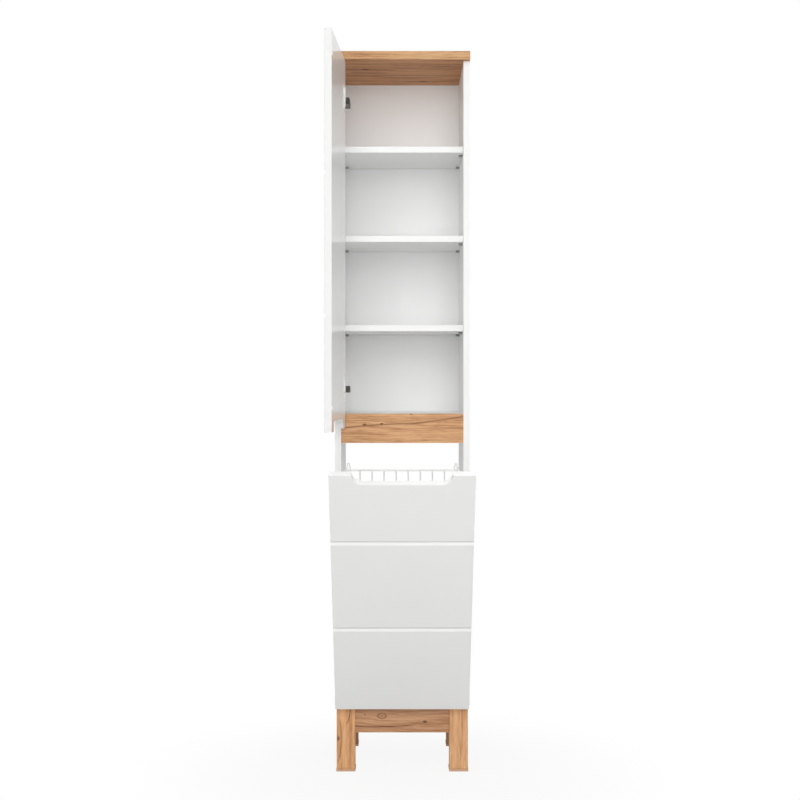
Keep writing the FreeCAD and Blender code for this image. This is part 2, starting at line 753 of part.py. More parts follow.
def add_screws(body, plane, face, outward, points):
    """Screws with a flat head standing on a face; outward is the side of the face the head is on."""
    head = c["screw_head_height"]
    shank = c["screw_length"] - c["dowel_end_gap"]
    head_start = face if outward > 0 else face - head
    shank_start = face - shank if outward > 0 else face
    extrude(body, plane, head_start, head, discs(points, c["screw_head_radius"]))
    extrude(body, plane, shank_start, shank, discs(points, c["screw_radius"]))


# Door hinges: plate and arm on the side, a link, and a cup let into the door
UP = FreeCAD.Vector(0, 0, 1)
link_turn = c["door_angle"] * c["link_share"]
arm_half = c["arm_height"] / 2
side_face = -inner_half
plate_top = side_face + c["plate_board"]
plate_front = plate_screw_y - c["plate_ahead"]
arm_front = arm_pin_y + c["arm_ear"] + c["arm_wall"]
for name, level in zip(hinge_names, hinge_levels):
    plate = new_body("%s_hinge_plate" % name)
    wing = c["plate_width"] / 2
    extrude(plate, "YZ", side_face, c["plate_board"], [(draw_box, (
        plate_screw_y - wing, plate_screw_y + wing,
        level - c["plate_height"] / 2, level + c["plate_height"] / 2))])
    extrude(plate, "YZ", side_face, c["plate_board"], [(draw_box, (
        plate_front, plate_front + c["plate_length"], level - arm_half, level + arm_half))])
    plate_points = [(plate_screw_y, level + c["plate_screw_spread"] * shift) for shift in (-1, 1)]
    cut_away(plate, "YZ", side_face, c["plate_board"],
             discs(plate_points, c["screw_radius"] + c["press_gap"]))

    arm = new_body("%s_hinge_arm" % name)
    arm_end = side_face + c["arm_top"]
    extrude(arm, "XY", level - arm_half, c["arm_height"],
            [(draw_box, (plate_top, arm_end, arm_front, arm_front + c["arm_length"]))])
    ear = (c["arm_height"] - c["link_height"]) / 2 - c["link_gap"]
    for start in (level - arm_half, level + arm_half - ear):
        extrude(arm, "XY", start, ear, [(draw_box, (
            arm_pin_x - c["arm_ear"], arm_pin_x + c["arm_ear"], arm_pin_y, arm_front + c["arm_wall"]))])
        extrude(arm, "XY", start, ear, discs([(arm_pin_x, arm_pin_y)], c["arm_ear"]))
    wall = c["arm_wall"]
    cut_away(arm, "XY", level - arm_half + wall, c["arm_height"] - wall * 2, [(draw_box, (
        plate_top, arm_end - wall, arm_front + wall, arm_front + c["arm_length"] - wall))])
    cut_away(arm, "XY", level - arm_half, c["arm_height"],
             discs([(arm_pin_x, arm_pin_y)], c["arm_pin_radius"] + c["press_gap"]))

    link = new_body("%s_hinge_link" % name)
    far_x = cup_pin_x - arm_pin_x
    far_y = cup_pin_y - arm_pin_y
    bend_x = -c["link_bend_across"]
    bend_y = -c["link_bend_out"]
    low = level - c["link_height"] / 2
    half = c["link_half"]
    first = root((bend_x - far_x) * (bend_x - far_x) + (bend_y - far_y) * (bend_y - far_y))
    second = root(bend_x * bend_x + bend_y * bend_y)
    first_x, first_y = (far_y - bend_y) / first, (bend_x - far_x) / first
    second_x, second_y = bend_y / second, -bend_x / second
    spread = 1 + first_x * second_x + first_y * second_y
    bend_off_x = half * (first_x + second_x) / spread
    bend_off_y = half * (first_y + second_y) / spread
    extrude(link, "XY", low, c["link_height"], [(draw_outline, ([
        (far_x + half * first_x, far_y + half * first_y),
        (far_x - half * first_x, far_y - half * first_y),
        (bend_x - bend_off_x, bend_y - bend_off_y),
        (-half * second_x, -half * second_y),
        (half * second_x, half * second_y),
        (bend_x + bend_off_x, bend_y + bend_off_y)],))])
    extrude(link, "XY", low, c["link_height"], discs([(0, 0)], c["link_arm_end"]))
    extrude(link, "XY", low, c["link_height"], discs([(far_x, far_y)], c["link_cup_end"]))
    cut_away(link, "XY", low, c["link_height"], discs([(0, 0)], c["arm_pin_radius"] + c["running_gap"]))
    cut_away(link, "XY", low, c["link_height"],
             discs([(far_x, far_y)], c["cup_pin_radius"] + c["running_gap"]))
    place(link, arm_pin_x, arm_pin_y, 0, UP, link_turn)

arm_pins = new_body("hinge_arm_pins")
for level in hinge_levels:
    extrude(arm_pins, "XY", level - arm_half, c["arm_height"],
            discs([(arm_pin_x, arm_pin_y)], c["arm_pin_radius"]))
plate_points = [(plate_screw_y, level + c["plate_screw_spread"] * shift)
                for level in hinge_levels for shift in (-1, 1)]
carcass_screws = new_body("carcass_screws")
add_screws(carcass_screws, "YZ", plate_top, 1, plate_points)

# Pieces on the door share one place: their origin is the cup pin, turned open about it
reach_x = cup_pin_x - arm_pin_x
reach_y = cup_pin_y - arm_pin_y
door_x = arm_pin_x + reach_x * cosine(link_turn) - reach_y * sine(link_turn)
door_y = arm_pin_y + reach_x * sine(link_turn) + reach_y * cosine(link_turn)


def on_door(body):
    place(body, door_x, door_y, 0, UP, -c["door_angle"])


door_left = -c["cup_pin_edge"]
door_right = front_width - c["cup_pin_edge"]
door_middle = front_half - c["cup_pin_edge"]
door_outer = -cup_pin_y
door_inner = c["cup_pin_depth"]
cup_x = door_left + c["cup_edge"] + c["cup_radius"]
cup_screw_x = cup_x + c["flange_shift"]
cup_screw_reach = c["flange_height"] / 2 - c["flange_screw_edge"]
cup_screws = [(cup_screw_x, level + cup_screw_reach * shift) for level in hinge_levels for shift in (-1, 1)]
grip_reach = c["grip_width"] / 2 - c["grip_depth"]


def cut_grooves(body, outer, levels, left, width):
    """V grooves across the outer face of a front."""
    half = c["groove_width"] / 2
    for level in levels:
        cut_away(body, "YZ", left, width, [(draw_outline, ([
            (outer, level - half), (outer + c["groove_depth"], level), (outer, level + half)],))])


door = new_body("door_panel")
extrude(door, "XZ", door_outer, c["front_board"],
        [(draw_box, (door_left, door_right, door_low, door_high))])
cut_away(door, "XZ", door_outer, c["front_board"], [(draw_slot, (
    door_middle - grip_reach, door_middle + grip_reach, door_low, c["grip_depth"]))])
round_edges(door, door.Tip, c["edge_round"], lambda point: abs(point.y - door_outer.value) < 1e-6)
cut_grooves(door, door_outer, [door_low + c["door_groove_low"], door_low + c["door_groove_high"]],
            door_left, front_width)
cut_away(door, "XZ", door_inner - c["cup_depth"] - c["press_gap"], c["cup_depth"] + c["press_gap"],
         discs([(cup_x, level) for level in hinge_levels], c["cup_radius"] + c["press_gap"]))
cut_away(door, "XZ", door_inner - c["screw_length"], c["screw_length"],
         discs(cup_screws, c["screw_radius"] + c["press_gap"]))
on_door(door)

for name, level in zip(hinge_names, hinge_levels):
    cup = new_body("%s_hinge_cup" % name)
    extrude(cup, "XZ", door_inner - c["cup_depth"], c["cup_depth"], discs([(cup_x, level)], c["cup_radius"]))
    extrude(cup, "XZ", door_inner, c["flange_board"], [(draw_box, (
        cup_screw_x - c["flange_width"] / 2, cup_screw_x + c["flange_width"] / 2,
        level - c["flange_height"] / 2, level + c["flange_height"] / 2))])
    extrude(cup, "XZ", door_inner, c["flange_board"], discs([(cup_x, level)], c["cup_radius"]))
    bore = c["cup_depth"] - c["cup_wall"]
    cut_away(cup, "XZ", door_inner - bore, bore + c["flange_board"],
             discs([(cup_x, level)], c["cup_radius"] - c["cup_wall"]))
    own_screws = [(cup_screw_x, level + cup_screw_reach * shift) for shift in (-1, 1)]
    cut_away(cup, "XZ", door_inner, c["flange_board"], discs(own_screws, c["screw_radius"] + c["press_gap"]))
    cut_away(cup, "XY", level - c["cup_radius"], c["cup_radius"] * 2,
             discs([(0, 0)], c["cup_pin_radius"] + c["press_gap"]))
    on_door(cup)

cup_pins = new_body("hinge_cup_pins")
pin_edge = cup_x + c["cup_pin_radius"]
pin_chord = root(c["cup_radius"] * c["cup_radius"] - pin_edge * pin_edge) - c["cup_pin_short"]
for level in hinge_levels:
    extrude(cup_pins, "XY", level - pin_chord, pin_chord * 2, discs([(0, 0)], c["cup_pin_radius"]))
on_door(cup_pins)
cup_screw_set = new_body("hinge_cup_screws")
extrude(cup_screw_set, "XZ", door_inner + c["flange_board"], c["cup_screw_head"],
        discs(cup_screws, c["screw_head_radius"]))
extrude(cup_screw_set, "XZ", door_inner + c["flange_board"] - c["screw_length"], c["screw_length"],
        discs(cup_screws, c["screw_radius"]))
on_door(cup_screw_set)
door_buffers = new_body("door_buffers")
buffer_x = door_right - c["side_reveal"] - c["carcass_board"] / 2
extrude(door_buffers, "XZ", door_inner, c["buffer_height"], discs(
    [(buffer_x, door_low + c["buffer_inset"]), (buffer_x, door_high - c["buffer_inset"])],
    c["buffer_radius"]))
on_door(door_buffers)

# Hamper: its pieces share the tilt axis as their origin, tilted out about it
ACROSS = FreeCAD.Vector(1, 0, 0)


def on_hamper(body):
    place(body, 0, pivot_y, pivot_z, ACROSS, c["hamper_angle"])


wire = c["wire_radius"]
hamper_outer = -pivot_y
hamper_inner = front_inside - pivot_y
own_low = hamper_low - pivot_z
own_high = hamper_high - pivot_z
sector_x = inner_half - c["pivot_plate"] - c["sector_gap"]
flange_x = sector_x - c["sector_flange"] / 2
sector_screw_levels = []
for share in (-1, 0, 1):
    sector_middle = (c["sector_low"] + c["sector_high"]) / 2
    sector_screw_levels.append(sector_middle + c["sector_screw_pitch"] * share)
wall_high = own_high - c["basket_drop"]
wall_low = own_low + c["basket_low"]
ring_pitch = (wall_high - c["top_ring_drop"] - wall_low - wire) / (ring_count - 1)
level_wires = [wall_low + wire + ring_pitch * number for number in range(ring_count)]
clip_centre = c["wire_pitch"] * clip_gap
clip_levels = level_wires[1:3]
sector_points = [(flange_x * hand, own_low + level) for hand in (-1, 1) for level in sector_screw_levels]
clip_screw_points = [(clip_centre * hand, level - c["clip_screw_drop"])
                     for hand in (-1, 1) for level in clip_levels]

hamper = new_body("hamper_front")
extrude(hamper, "XZ", hamper_outer, c["front_board"],
        [(draw_box, (-front_half, front_half, own_low, own_high))])
cut_away(hamper, "XZ", hamper_outer, c["front_board"],
         [(draw_slot, (-grip_reach, grip_reach, own_high, c["grip_depth"]))])
round_edges(hamper, hamper.Tip, c["edge_round"], lambda point: abs(point.y - hamper_outer.value) < 1e-6)
cut_grooves(hamper, hamper_outer, [own_low + c["hamper_groove_low"], own_low + c["hamper_groove_high"]],
            -front_half, front_width)
cut_away(hamper, "XZ", hamper_inner - c["screw_length"], c["screw_length"],
         discs(sector_points + clip_screw_points, c["screw_radius"] + c["press_gap"]))
on_hamper(hamper)

for side, hand in (("left", -1), ("right", 1)):
    bracket = new_body("%s_tilt_bracket" % side)
    plate = c["sector_plate"]
    start = -sector_x if hand < 0 else sector_x - plate
    strip_back = hamper_inner + c["sector_strip"]
    extrude(bracket, "YZ", start, plate, [(draw_box, (
        hamper_inner, strip_back, own_low + c["sector_low"], own_low + c["sector_high"]))])
    extrude(bracket, "YZ", start, plate, [(draw_box, (
        -c["pivot_boss"], c["pivot_boss"], 0, own_low + c["sector_low"] + c["sector_boss_lap"]))])
    extrude(bracket, "YZ", start, plate, discs([(0, 0)], c["pivot_boss"]))
    band_end = c["stop_angle"] + c["hamper_angle"] + c["band_end_angle"]
    band_inner = c["stop_radius"] - c["sector_band"]
    band_outer = c["stop_radius"] + c["sector_band"]
    band_start = c["band_start_angle"]
    extrude(bracket, "YZ", start, plate, [(draw_band, (band_inner, band_outer, band_start, band_end))])
    slot_half = c["pivot_radius"] + c["stop_gap"]
    slot_from = c["stop_angle"] - c["slot_end_angle"]
    slot_to = c["stop_angle"] + c["hamper_angle"] + c["slot_end_angle"]
    cut_away(bracket, "YZ", start, plate, [(draw_band, (
        c["stop_radius"] - slot_half, c["stop_radius"] + slot_half, slot_from, slot_to))])
    cut_away(bracket, "YZ", start, plate, discs([(0, 0)], c["pivot_radius"] + c["running_gap"]))
    flange_start = -sector_x if hand < 0 else sector_x - c["sector_flange"]
    extrude(bracket, "XZ", hamper_inner, plate, [(draw_box, (
        flange_start, flange_start + c["sector_flange"],
        own_low + c["sector_low"], own_low + c["sector_high"]))])
    own_points = [(flange_x * hand, own_low + level) for level in sector_screw_levels]
    cut_away(bracket, "XZ", hamper_inner, plate, discs(own_points, c["screw_radius"] + c["press_gap"]))
    on_hamper(bracket)

    fixed = new_body("%s_pivot_bracket" % side)
    board = c["pivot_plate"]
    start = -inner_half if hand < 0 else inner_half - board
    tongue_front = carcass_front + c["bracket_gap"]
    tongue_back = leg_front - c["bracket_gap"]
    tongue_low = pivot_z - c["pivot_boss"]
    extrude(fixed, "YZ", start, board, [(draw_outline, ([
        (tongue_front, tongue_low), (tongue_back, tongue_low), (tongue_back, bracket_low),
        (bracket_back, bracket_low), (bracket_back, bracket_high), (tongue_front, bracket_high)],))])
    screw_points = [(bracket_screw_y, level) for level in bracket_screw_levels]
    cut_away(fixed, "YZ", start, board, discs(screw_points, c["screw_radius"] + c["press_gap"]))
    cut_away(fixed, "YZ", start, board, discs([(pivot_y, pivot_z)], c["pivot_radius"] + c["press_gap"]))
    bracket_face = -inner_half + board if hand < 0 else inner_half - board
    add_screws(carcass_screws, "YZ", bracket_face, -hand, screw_points)

pivot_length = c["pivot_plate"] + c["sector_gap"] + c["sector_plate"] + c["stop_gap"]
for label, point, socket in (("tilt_pivot_pins", (pivot_y, pivot_z), size(0)),
                             ("tilt_stop_pins", (stop_y, stop_z), c["screw_length"] - c["dowel_end_gap"])):
    pins = new_body(label)
    for hand in (-1, 1):
        shank = pivot_length + socket
        shank_start = -inner_half - socket if hand < 0 else inner_half - pivot_length
        extrude(pins, "YZ", shank_start, shank, discs([point], c["pivot_radius"]))
        head = c["pivot_head_height"]
        head_start = -inner_half + pivot_length if hand < 0 else inner_half - pivot_length - head
        extrude(pins, "YZ", head_start, head, discs([point], c["pivot_head"]))
hamper_screws = new_body("hamper_screws")
add_screws(hamper_screws, "XZ", hamper_inner + c["sector_plate"], 1, sector_points)

# Wire basket behind the hamper front
wall_front = hamper_inner + c["basket_front"]
wall_rear = hamper_inner + c["basket_rear"]
crossing = wire * 2 - c["weld_sink"]
front_middle = (front_columns - 1) / 2
column_xs = [c["wire_pitch"] * (number - front_middle) for number in range(front_columns)]
column_pitch = (wall_rear - wall_front - c["wire_pitch"]) / (side_columns - 1)
first_column = wall_front + c["wire_pitch"] / 2
column_ys = [first_column + column_pitch * number for number in range(side_columns)]
wall_top = wall_high + c["rim_radius"]
ring_out = c["basket_half"] + crossing
ring_front = wall_front - crossing
ring_rear = wall_rear + crossing

for name, wall, ring in (("front", wall_front, ring_front), ("rear", wall_rear, ring_rear)):
    grid = new_body("basket_%s_grid" % name)
    extrude(grid, "XY", wall_low, wall_top - wall_low, discs([(x, wall) for x in column_xs], wire))
    ring_end = ring_out + wire
    extrude(grid, "YZ", -ring_end, ring_end * 2, discs([(ring, level) for level in level_wires], wire))
    on_hamper(grid)
for name, hand in (("left", -1), ("right", 1)):
    grid = new_body("basket_%s_grid" % name)
    extrude(grid, "XY", wall_low, wall_top - wall_low,
            discs([(c["basket_half"] * hand, y) for y in column_ys], wire))
    start = ring_front + wire + c["weld_gap"]
    extrude(grid, "XZ", start, ring_rear - wire - c["weld_gap"] - start,
            discs([(ring_out * hand, level) for level in level_wires], wire))
    on_hamper(grid)

floor_grid = new_body("basket_floor_grid")
lip = wire + c["weld_gap"]
floor_level = wall_low + wire * 2
extrude(floor_grid, "XZ", wall_front + lip, wall_rear - wall_front - lip * 2,
        discs([(x, floor_level) for x in column_xs[1:-1]], wire))
half_span = c["basket_half"] - lip
extrude(floor_grid, "YZ", -half_span, half_span * 2,
        discs([(y, floor_level + crossing) for y in column_ys[1:-1]], wire))
on_hamper(floor_grid)

rim = new_body("basket_rim")
rim_off = wire + c["rim_radius"] + c["weld_gap"]
rim_x = c["basket_half"] + rim_off
rim_front = wall_front - rim_off
rim_rear = wall_rear + rim_off


def draw_rim(sketch):
    draw_ring_path(sketch, -rim_x, rim_x, rim_front, rim_rear, c["rim_corner"])


sweep(rim, "XY", wall_high, draw_rim, "YZ", size(0), rim_front, wall_high, c["rim_radius"])
on_hamper(rim)

ears = new_body("basket_ears")
for hand in (-1, 1):
    middle = (c["basket_half"] - c["ear_in"]) * hand
    foot_level = wall_high + c["rim_radius"] + c["ear_lift"]

    def draw_ear(sketch):
        draw_peak(sketch, middle, foot_level, c["ear_half"], c["ear_height"], c["ear_bend"])

    sweep(ears, "XZ", rim_rear, draw_ear, "XY", foot_level, middle - c["ear_half"], rim_rear, wire)
on_hamper(ears)

clips = new_body("basket_clips")
clip_depth = c["basket_front"] - crossing + wire + c["clip_lip"]
for hand in (-1, 1):
    for level in clip_levels:
        left = clip_centre * hand - c["clip_width"] / 2
        extrude(clips, "XZ", hamper_inner, clip_depth, [(draw_box, (
            left, left + c["clip_width"], level - c["clip_below"], level + c["clip_above"]))])
for hand in (-1, 1):
    left = clip_centre * hand - c["clip_width"] / 2
    cut_away(clips, "YZ", left, c["clip_width"],
             discs([(ring_front, level) for level in clip_levels], wire + c["press_gap"]))
cut_away(clips, "XZ", hamper_inner, clip_depth,
         discs(clip_screw_points, c["screw_radius"] + c["press_gap"]))
cut_away(clips, "XZ", hamper_inner + c["clip_base"], clip_depth - c["clip_base"],
         discs(clip_screw_points, c["screw_head_radius"] + c["seat_gap"]))
on_hamper(clips)
add_screws(hamper_screws, "XZ", hamper_inner + c["clip_base"], 1, clip_screw_points)
on_hamper(hamper_screws)
hamper_buffers = new_body("hamper_buffers")
buffer_across = front_half + c["side_reveal"] - c["carcass_board"] / 2
extrude(hamper_buffers, "XZ", hamper_inner, c["buffer_height"], discs(
    [(buffer_across * hand, own_high - c["buffer_inset"]) for hand in (-1, 1)], c["buffer_radius"]))
on_hamper(hamper_buffers)

# Write out every piece
doc.recompute()
pieces = [item for item in doc.Objects if item.TypeId == "PartDesign::Body"]
for item in doc.Objects:
    bad = [state for state in item.State if state in ("Invalid", "Error")]
    if bad:
        raise RuntimeError("%s is %s" % (item.Label, ", ".join(bad)))
for body in pieces:
    if body.Shape.isNull() or not body.Shape.isValid():
        raise RuntimeError("%s has no valid shape" % body.Label)
os.makedirs("parts", exist_ok=True)
for body in pieces:
    body.Shape.exportStep(os.path.join("parts", "%s.step" % body.Label))
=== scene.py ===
import bpy
import json
import math
import numpy as np
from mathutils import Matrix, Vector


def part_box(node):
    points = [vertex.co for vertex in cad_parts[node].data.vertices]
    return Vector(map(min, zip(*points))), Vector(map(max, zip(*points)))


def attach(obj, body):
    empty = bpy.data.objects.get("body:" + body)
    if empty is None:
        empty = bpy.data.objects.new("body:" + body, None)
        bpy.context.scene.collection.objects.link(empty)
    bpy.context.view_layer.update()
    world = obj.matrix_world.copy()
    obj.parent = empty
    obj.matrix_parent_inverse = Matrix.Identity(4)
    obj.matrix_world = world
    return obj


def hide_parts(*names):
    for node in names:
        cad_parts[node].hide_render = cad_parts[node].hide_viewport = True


# Tall bathroom cabinet: coated white boards, glossy white fronts, oak top and leg frame, wire basket
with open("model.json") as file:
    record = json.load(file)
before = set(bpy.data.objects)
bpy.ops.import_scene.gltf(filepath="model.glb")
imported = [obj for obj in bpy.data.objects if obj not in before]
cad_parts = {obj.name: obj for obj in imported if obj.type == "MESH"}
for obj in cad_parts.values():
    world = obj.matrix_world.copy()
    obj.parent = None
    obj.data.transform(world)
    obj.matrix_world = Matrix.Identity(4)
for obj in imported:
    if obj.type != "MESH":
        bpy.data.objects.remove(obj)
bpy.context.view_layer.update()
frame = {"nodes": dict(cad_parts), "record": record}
nodes = frame["nodes"]
X_AXIS, Y_AXIS, Z_AXIS = 0, 1, 2


class Finish:
    """A material's node tree; each step is a call that adds one node and returns its output."""

    def __init__(self, name):
        self.material = bpy.data.materials.new(name)
        self.material.use_nodes = True
        self.tree = self.material.node_tree
        self.tree.nodes.clear()
        self.output = self.tree.nodes.new("ShaderNodeOutputMaterial")
        self.shader = self.add("ShaderNodeBsdfPrincipled")
        self.tree.links.new(self.shader.outputs[0], self.output.inputs[0])
        coordinates = self.add("ShaderNodeTexCoord")
        self.place = coordinates.outputs["Object"]
        self.facing = coordinates.outputs["Normal"]

    def add(self, kind):
        """A new node of one kind."""
        return self.tree.nodes.new(kind)

    def feed(self, socket, value):
        """Links an output into the socket, or writes a plain value on it."""
        if isinstance(value, bpy.types.NodeSocket):
            self.tree.links.new(value, socket)
        else:
            socket.default_value = value

    def math(self, operation, *values):
        """One sum on numbers or outputs."""
        node = self.add("ShaderNodeMath")
        node.operation = operation
        for socket, value in zip(node.inputs, values):
            self.feed(socket, value)
        return node.outputs[0]

    def stretch(self, scale, shift=(0, 0, 0), place=None):
        """A place, the piece's own if none is given, scaled along each axis and then shifted."""
        node = self.add("ShaderNodeMapping")
        node.inputs["Scale"].default_value = scale
        node.inputs["Location"].default_value = shift
        self.feed(node.inputs["Vector"], place or self.place)
        return node.outputs[0]

    def noise(self, place, scale, detail, roughness=0.5):
        """Noise at a place, from 0 to 1."""
        node = self.add("ShaderNodeTexNoise")
        self.feed(node.inputs["Vector"], place)
        for name, value in (("Scale", scale), ("Detail", detail), ("Roughness", roughness)):
            node.inputs[name].default_value = value
        return node.outputs["Fac"]

    def parts(self, place):
        """The three single coordinates of a place."""
        node = self.add("ShaderNodeSeparateXYZ")
        self.feed(node.inputs[0], place)
        return node.outputs

    def join(self, *values):
        """A place made of three single coordinates."""
        node = self.add("ShaderNodeCombineXYZ")
        for socket, value in zip(node.inputs, values):
            self.feed(socket, value)
        return node.outputs[0]

    def between(self, share, first, second):
        """A number that goes from the first to the second with the share."""
        return self.math("MULTIPLY_ADD", share, self.math("SUBTRACT", second, first), first)

    def ramp(self, value, stops):
        """A colour read from stops, each a position from 0 to 1 and a colour."""
        node = self.add("ShaderNodeValToRGB")
        self.feed(node.inputs[0], value)
        marks = node.color_ramp.elements
        while len(marks) < len(stops):
            marks.new(0.5)
        for mark, (position, colour) in zip(marks, stops):
            mark.position = position
            mark.color = colour
        return node.outputs[0]

    def step(self, value, low, high, start=0.0, end=1.0):
        """A smooth step of the value from start at low to end at high."""
        node = self.add("ShaderNodeMapRange")
        node.interpolation_type = "SMOOTHSTEP"
        self.feed(node.inputs["Value"], value)
        for name, number in (("From Min", low), ("From Max", high), ("To Min", start), ("To Max", end)):
            node.inputs[name].default_value = number
        return node.outputs[0]

    def blend(self, share, first, second, mode="MIX"):
        """Two colours mixed by a share."""
        node = self.add("ShaderNodeMix")
        node.data_type = "RGBA"
        node.blend_type = mode
        self.feed(node.inputs["Factor"], share)
        colour_inputs = [socket for socket in node.inputs if socket.type == "RGBA"]
        for socket, value in zip(colour_inputs, (first, second)):
            self.feed(socket, value)
        return [socket for socket in node.outputs if socket.type == "RGBA"][0]

    def bump(self, height, distance):
        """Relief of the surface: a height from 0 to 1, times a distance in metres."""
        node = self.add("ShaderNodeBump")
        node.inputs["Strength"].default_value = 1.0
        node.inputs["Distance"].default_value = distance
        self.feed(node.inputs["Height"], height)
        self.feed(self.shader.inputs["Normal"], node.outputs[0])

    def set(self, **values):
        """Writes or links the shader's inputs; words in a name are joined by underscores."""
        for name, value in values.items():
            self.feed(self.shader.inputs[name.replace("_", " ")], value)


def linear(red, green, blue):
    """A display colour from 0 to 255 as scene-linear, by the sRGB curve."""
    shares = np.array([red, green, blue]) / 255
    curved = np.where(shares <= 0.04045, shares / 12.92, ((shares + 0.055) / 1.055) ** 2.4)
    return tuple(curved) + (1.0,)


def shaded(colour, share):
    """A colour darkened to a share of itself."""
    return tuple(channel * share for channel in colour[:3]) + (1.0,)


# White coat: noise scales per metre, then its lacquer and the bare fibre behind
CLOUD_SCALE = 5.0
DRIFT_SCALE = 18.0
FLUFF_SCALE = 420.0
PEBBLE_SCALE = 650.0
SPECK_SCALE = 900.0
LACQUER_ROUGHNESS = 0.03
FLUFF_ROUGHNESS = 0.8
FLUFF_HEIGHT = 4.0


def white_coat(name, shade, roughness, peel, coat=0.0, front_edging_and_painted_shade=None, painted_light_on_up_faces=None, left_face=None,
               raw_back=None):
    """White coat on a board: faint cloudy shade, pebbled skin as high as peel, roughness that drifts, and
    clear lacquer of weight coat. Faces that look to the front may be of an edging white that is also darker
    as painted shade, faces that look up may be whiter as painted light, faces that look to the left may be of
    their own white, and the face to the wall may be bare pressed fibre."""
    finish = Finish(name)
    facing = finish.parts(finish.facing)
    cloud = finish.noise(finish.place, CLOUD_SCALE, 3.0, 0.6)
    speck = finish.noise(finish.place, SPECK_SCALE, 1.0)
    tone = finish.math("MULTIPLY_ADD", speck, 0.25, cloud)
    colour = finish.blend(finish.step(tone, 0.35, 0.95), shaded(shade, 0.985), shade)
    wander = finish.noise(finish.place, DRIFT_SCALE, 3.0)
    drift = finish.step(wander, 0.3, 0.7, start=roughness * 0.93, end=roughness * 1.07)
    height = finish.noise(finish.place, PEBBLE_SCALE, 2.0)
    # Faces to the front: an edging white, set darker as painted shade against the front lamps
    if front_edging_and_painted_shade:
        colour = finish.blend(finish.step(facing[Y_AXIS], -0.6, -0.8), colour, front_edging_and_painted_shade)
    # Faces that look up are whiter: painted light from above
    if painted_light_on_up_faces:
        colour = finish.blend(finish.step(facing[Z_AXIS], 0.35, 0.6), colour, painted_light_on_up_faces)
    # Faces to the left keep the lacquer's own white where the rest is whiter as painted light
    if left_face:
        colour = finish.blend(finish.step(facing[X_AXIS], -0.3, -0.5), colour, left_face)
    if raw_back:
        bare = finish.step(facing[Y_AXIS], 0.5, 0.8)
        fluff = finish.noise(finish.place, FLUFF_SCALE, 4.0, 0.7)
        felt = finish.blend(finish.step(fluff, 0.35, 0.68), shaded(raw_back, 0.8), raw_back)
        colour = finish.blend(bare, colour, felt)
        drift = finish.between(bare, drift, FLUFF_ROUGHNESS)
        height = finish.between(bare, height, finish.math("MULTIPLY", fluff, FLUFF_HEIGHT))
    finish.set(Base_Color=colour, Roughness=drift, Coat_Weight=coat, Coat_Roughness=LACQUER_ROUGHNESS)
    finish.bump(height, peel)
    return finish.material


# Oak: each board's grain runs along one axis, with knots and long cracks placed on it
oak_light = linear(226, 181, 137)
oak_middle = linear(210, 161, 117)
oak_dark = linear(187, 137, 97)
oak_streak = linear(155, 106, 72)
oak_crack = linear(84, 48, 30)
WAVE_SCALE_ACROSS = 9.0
WAVE_SCALE_ALONG = 2.4
KNOT_STRETCH = 1.7
DEPTH_STRETCH = 1.5
TINT_MIDDLE = 0.48
CRACK_WANDER = 0.008
OAK_RELIEF = 0.0002


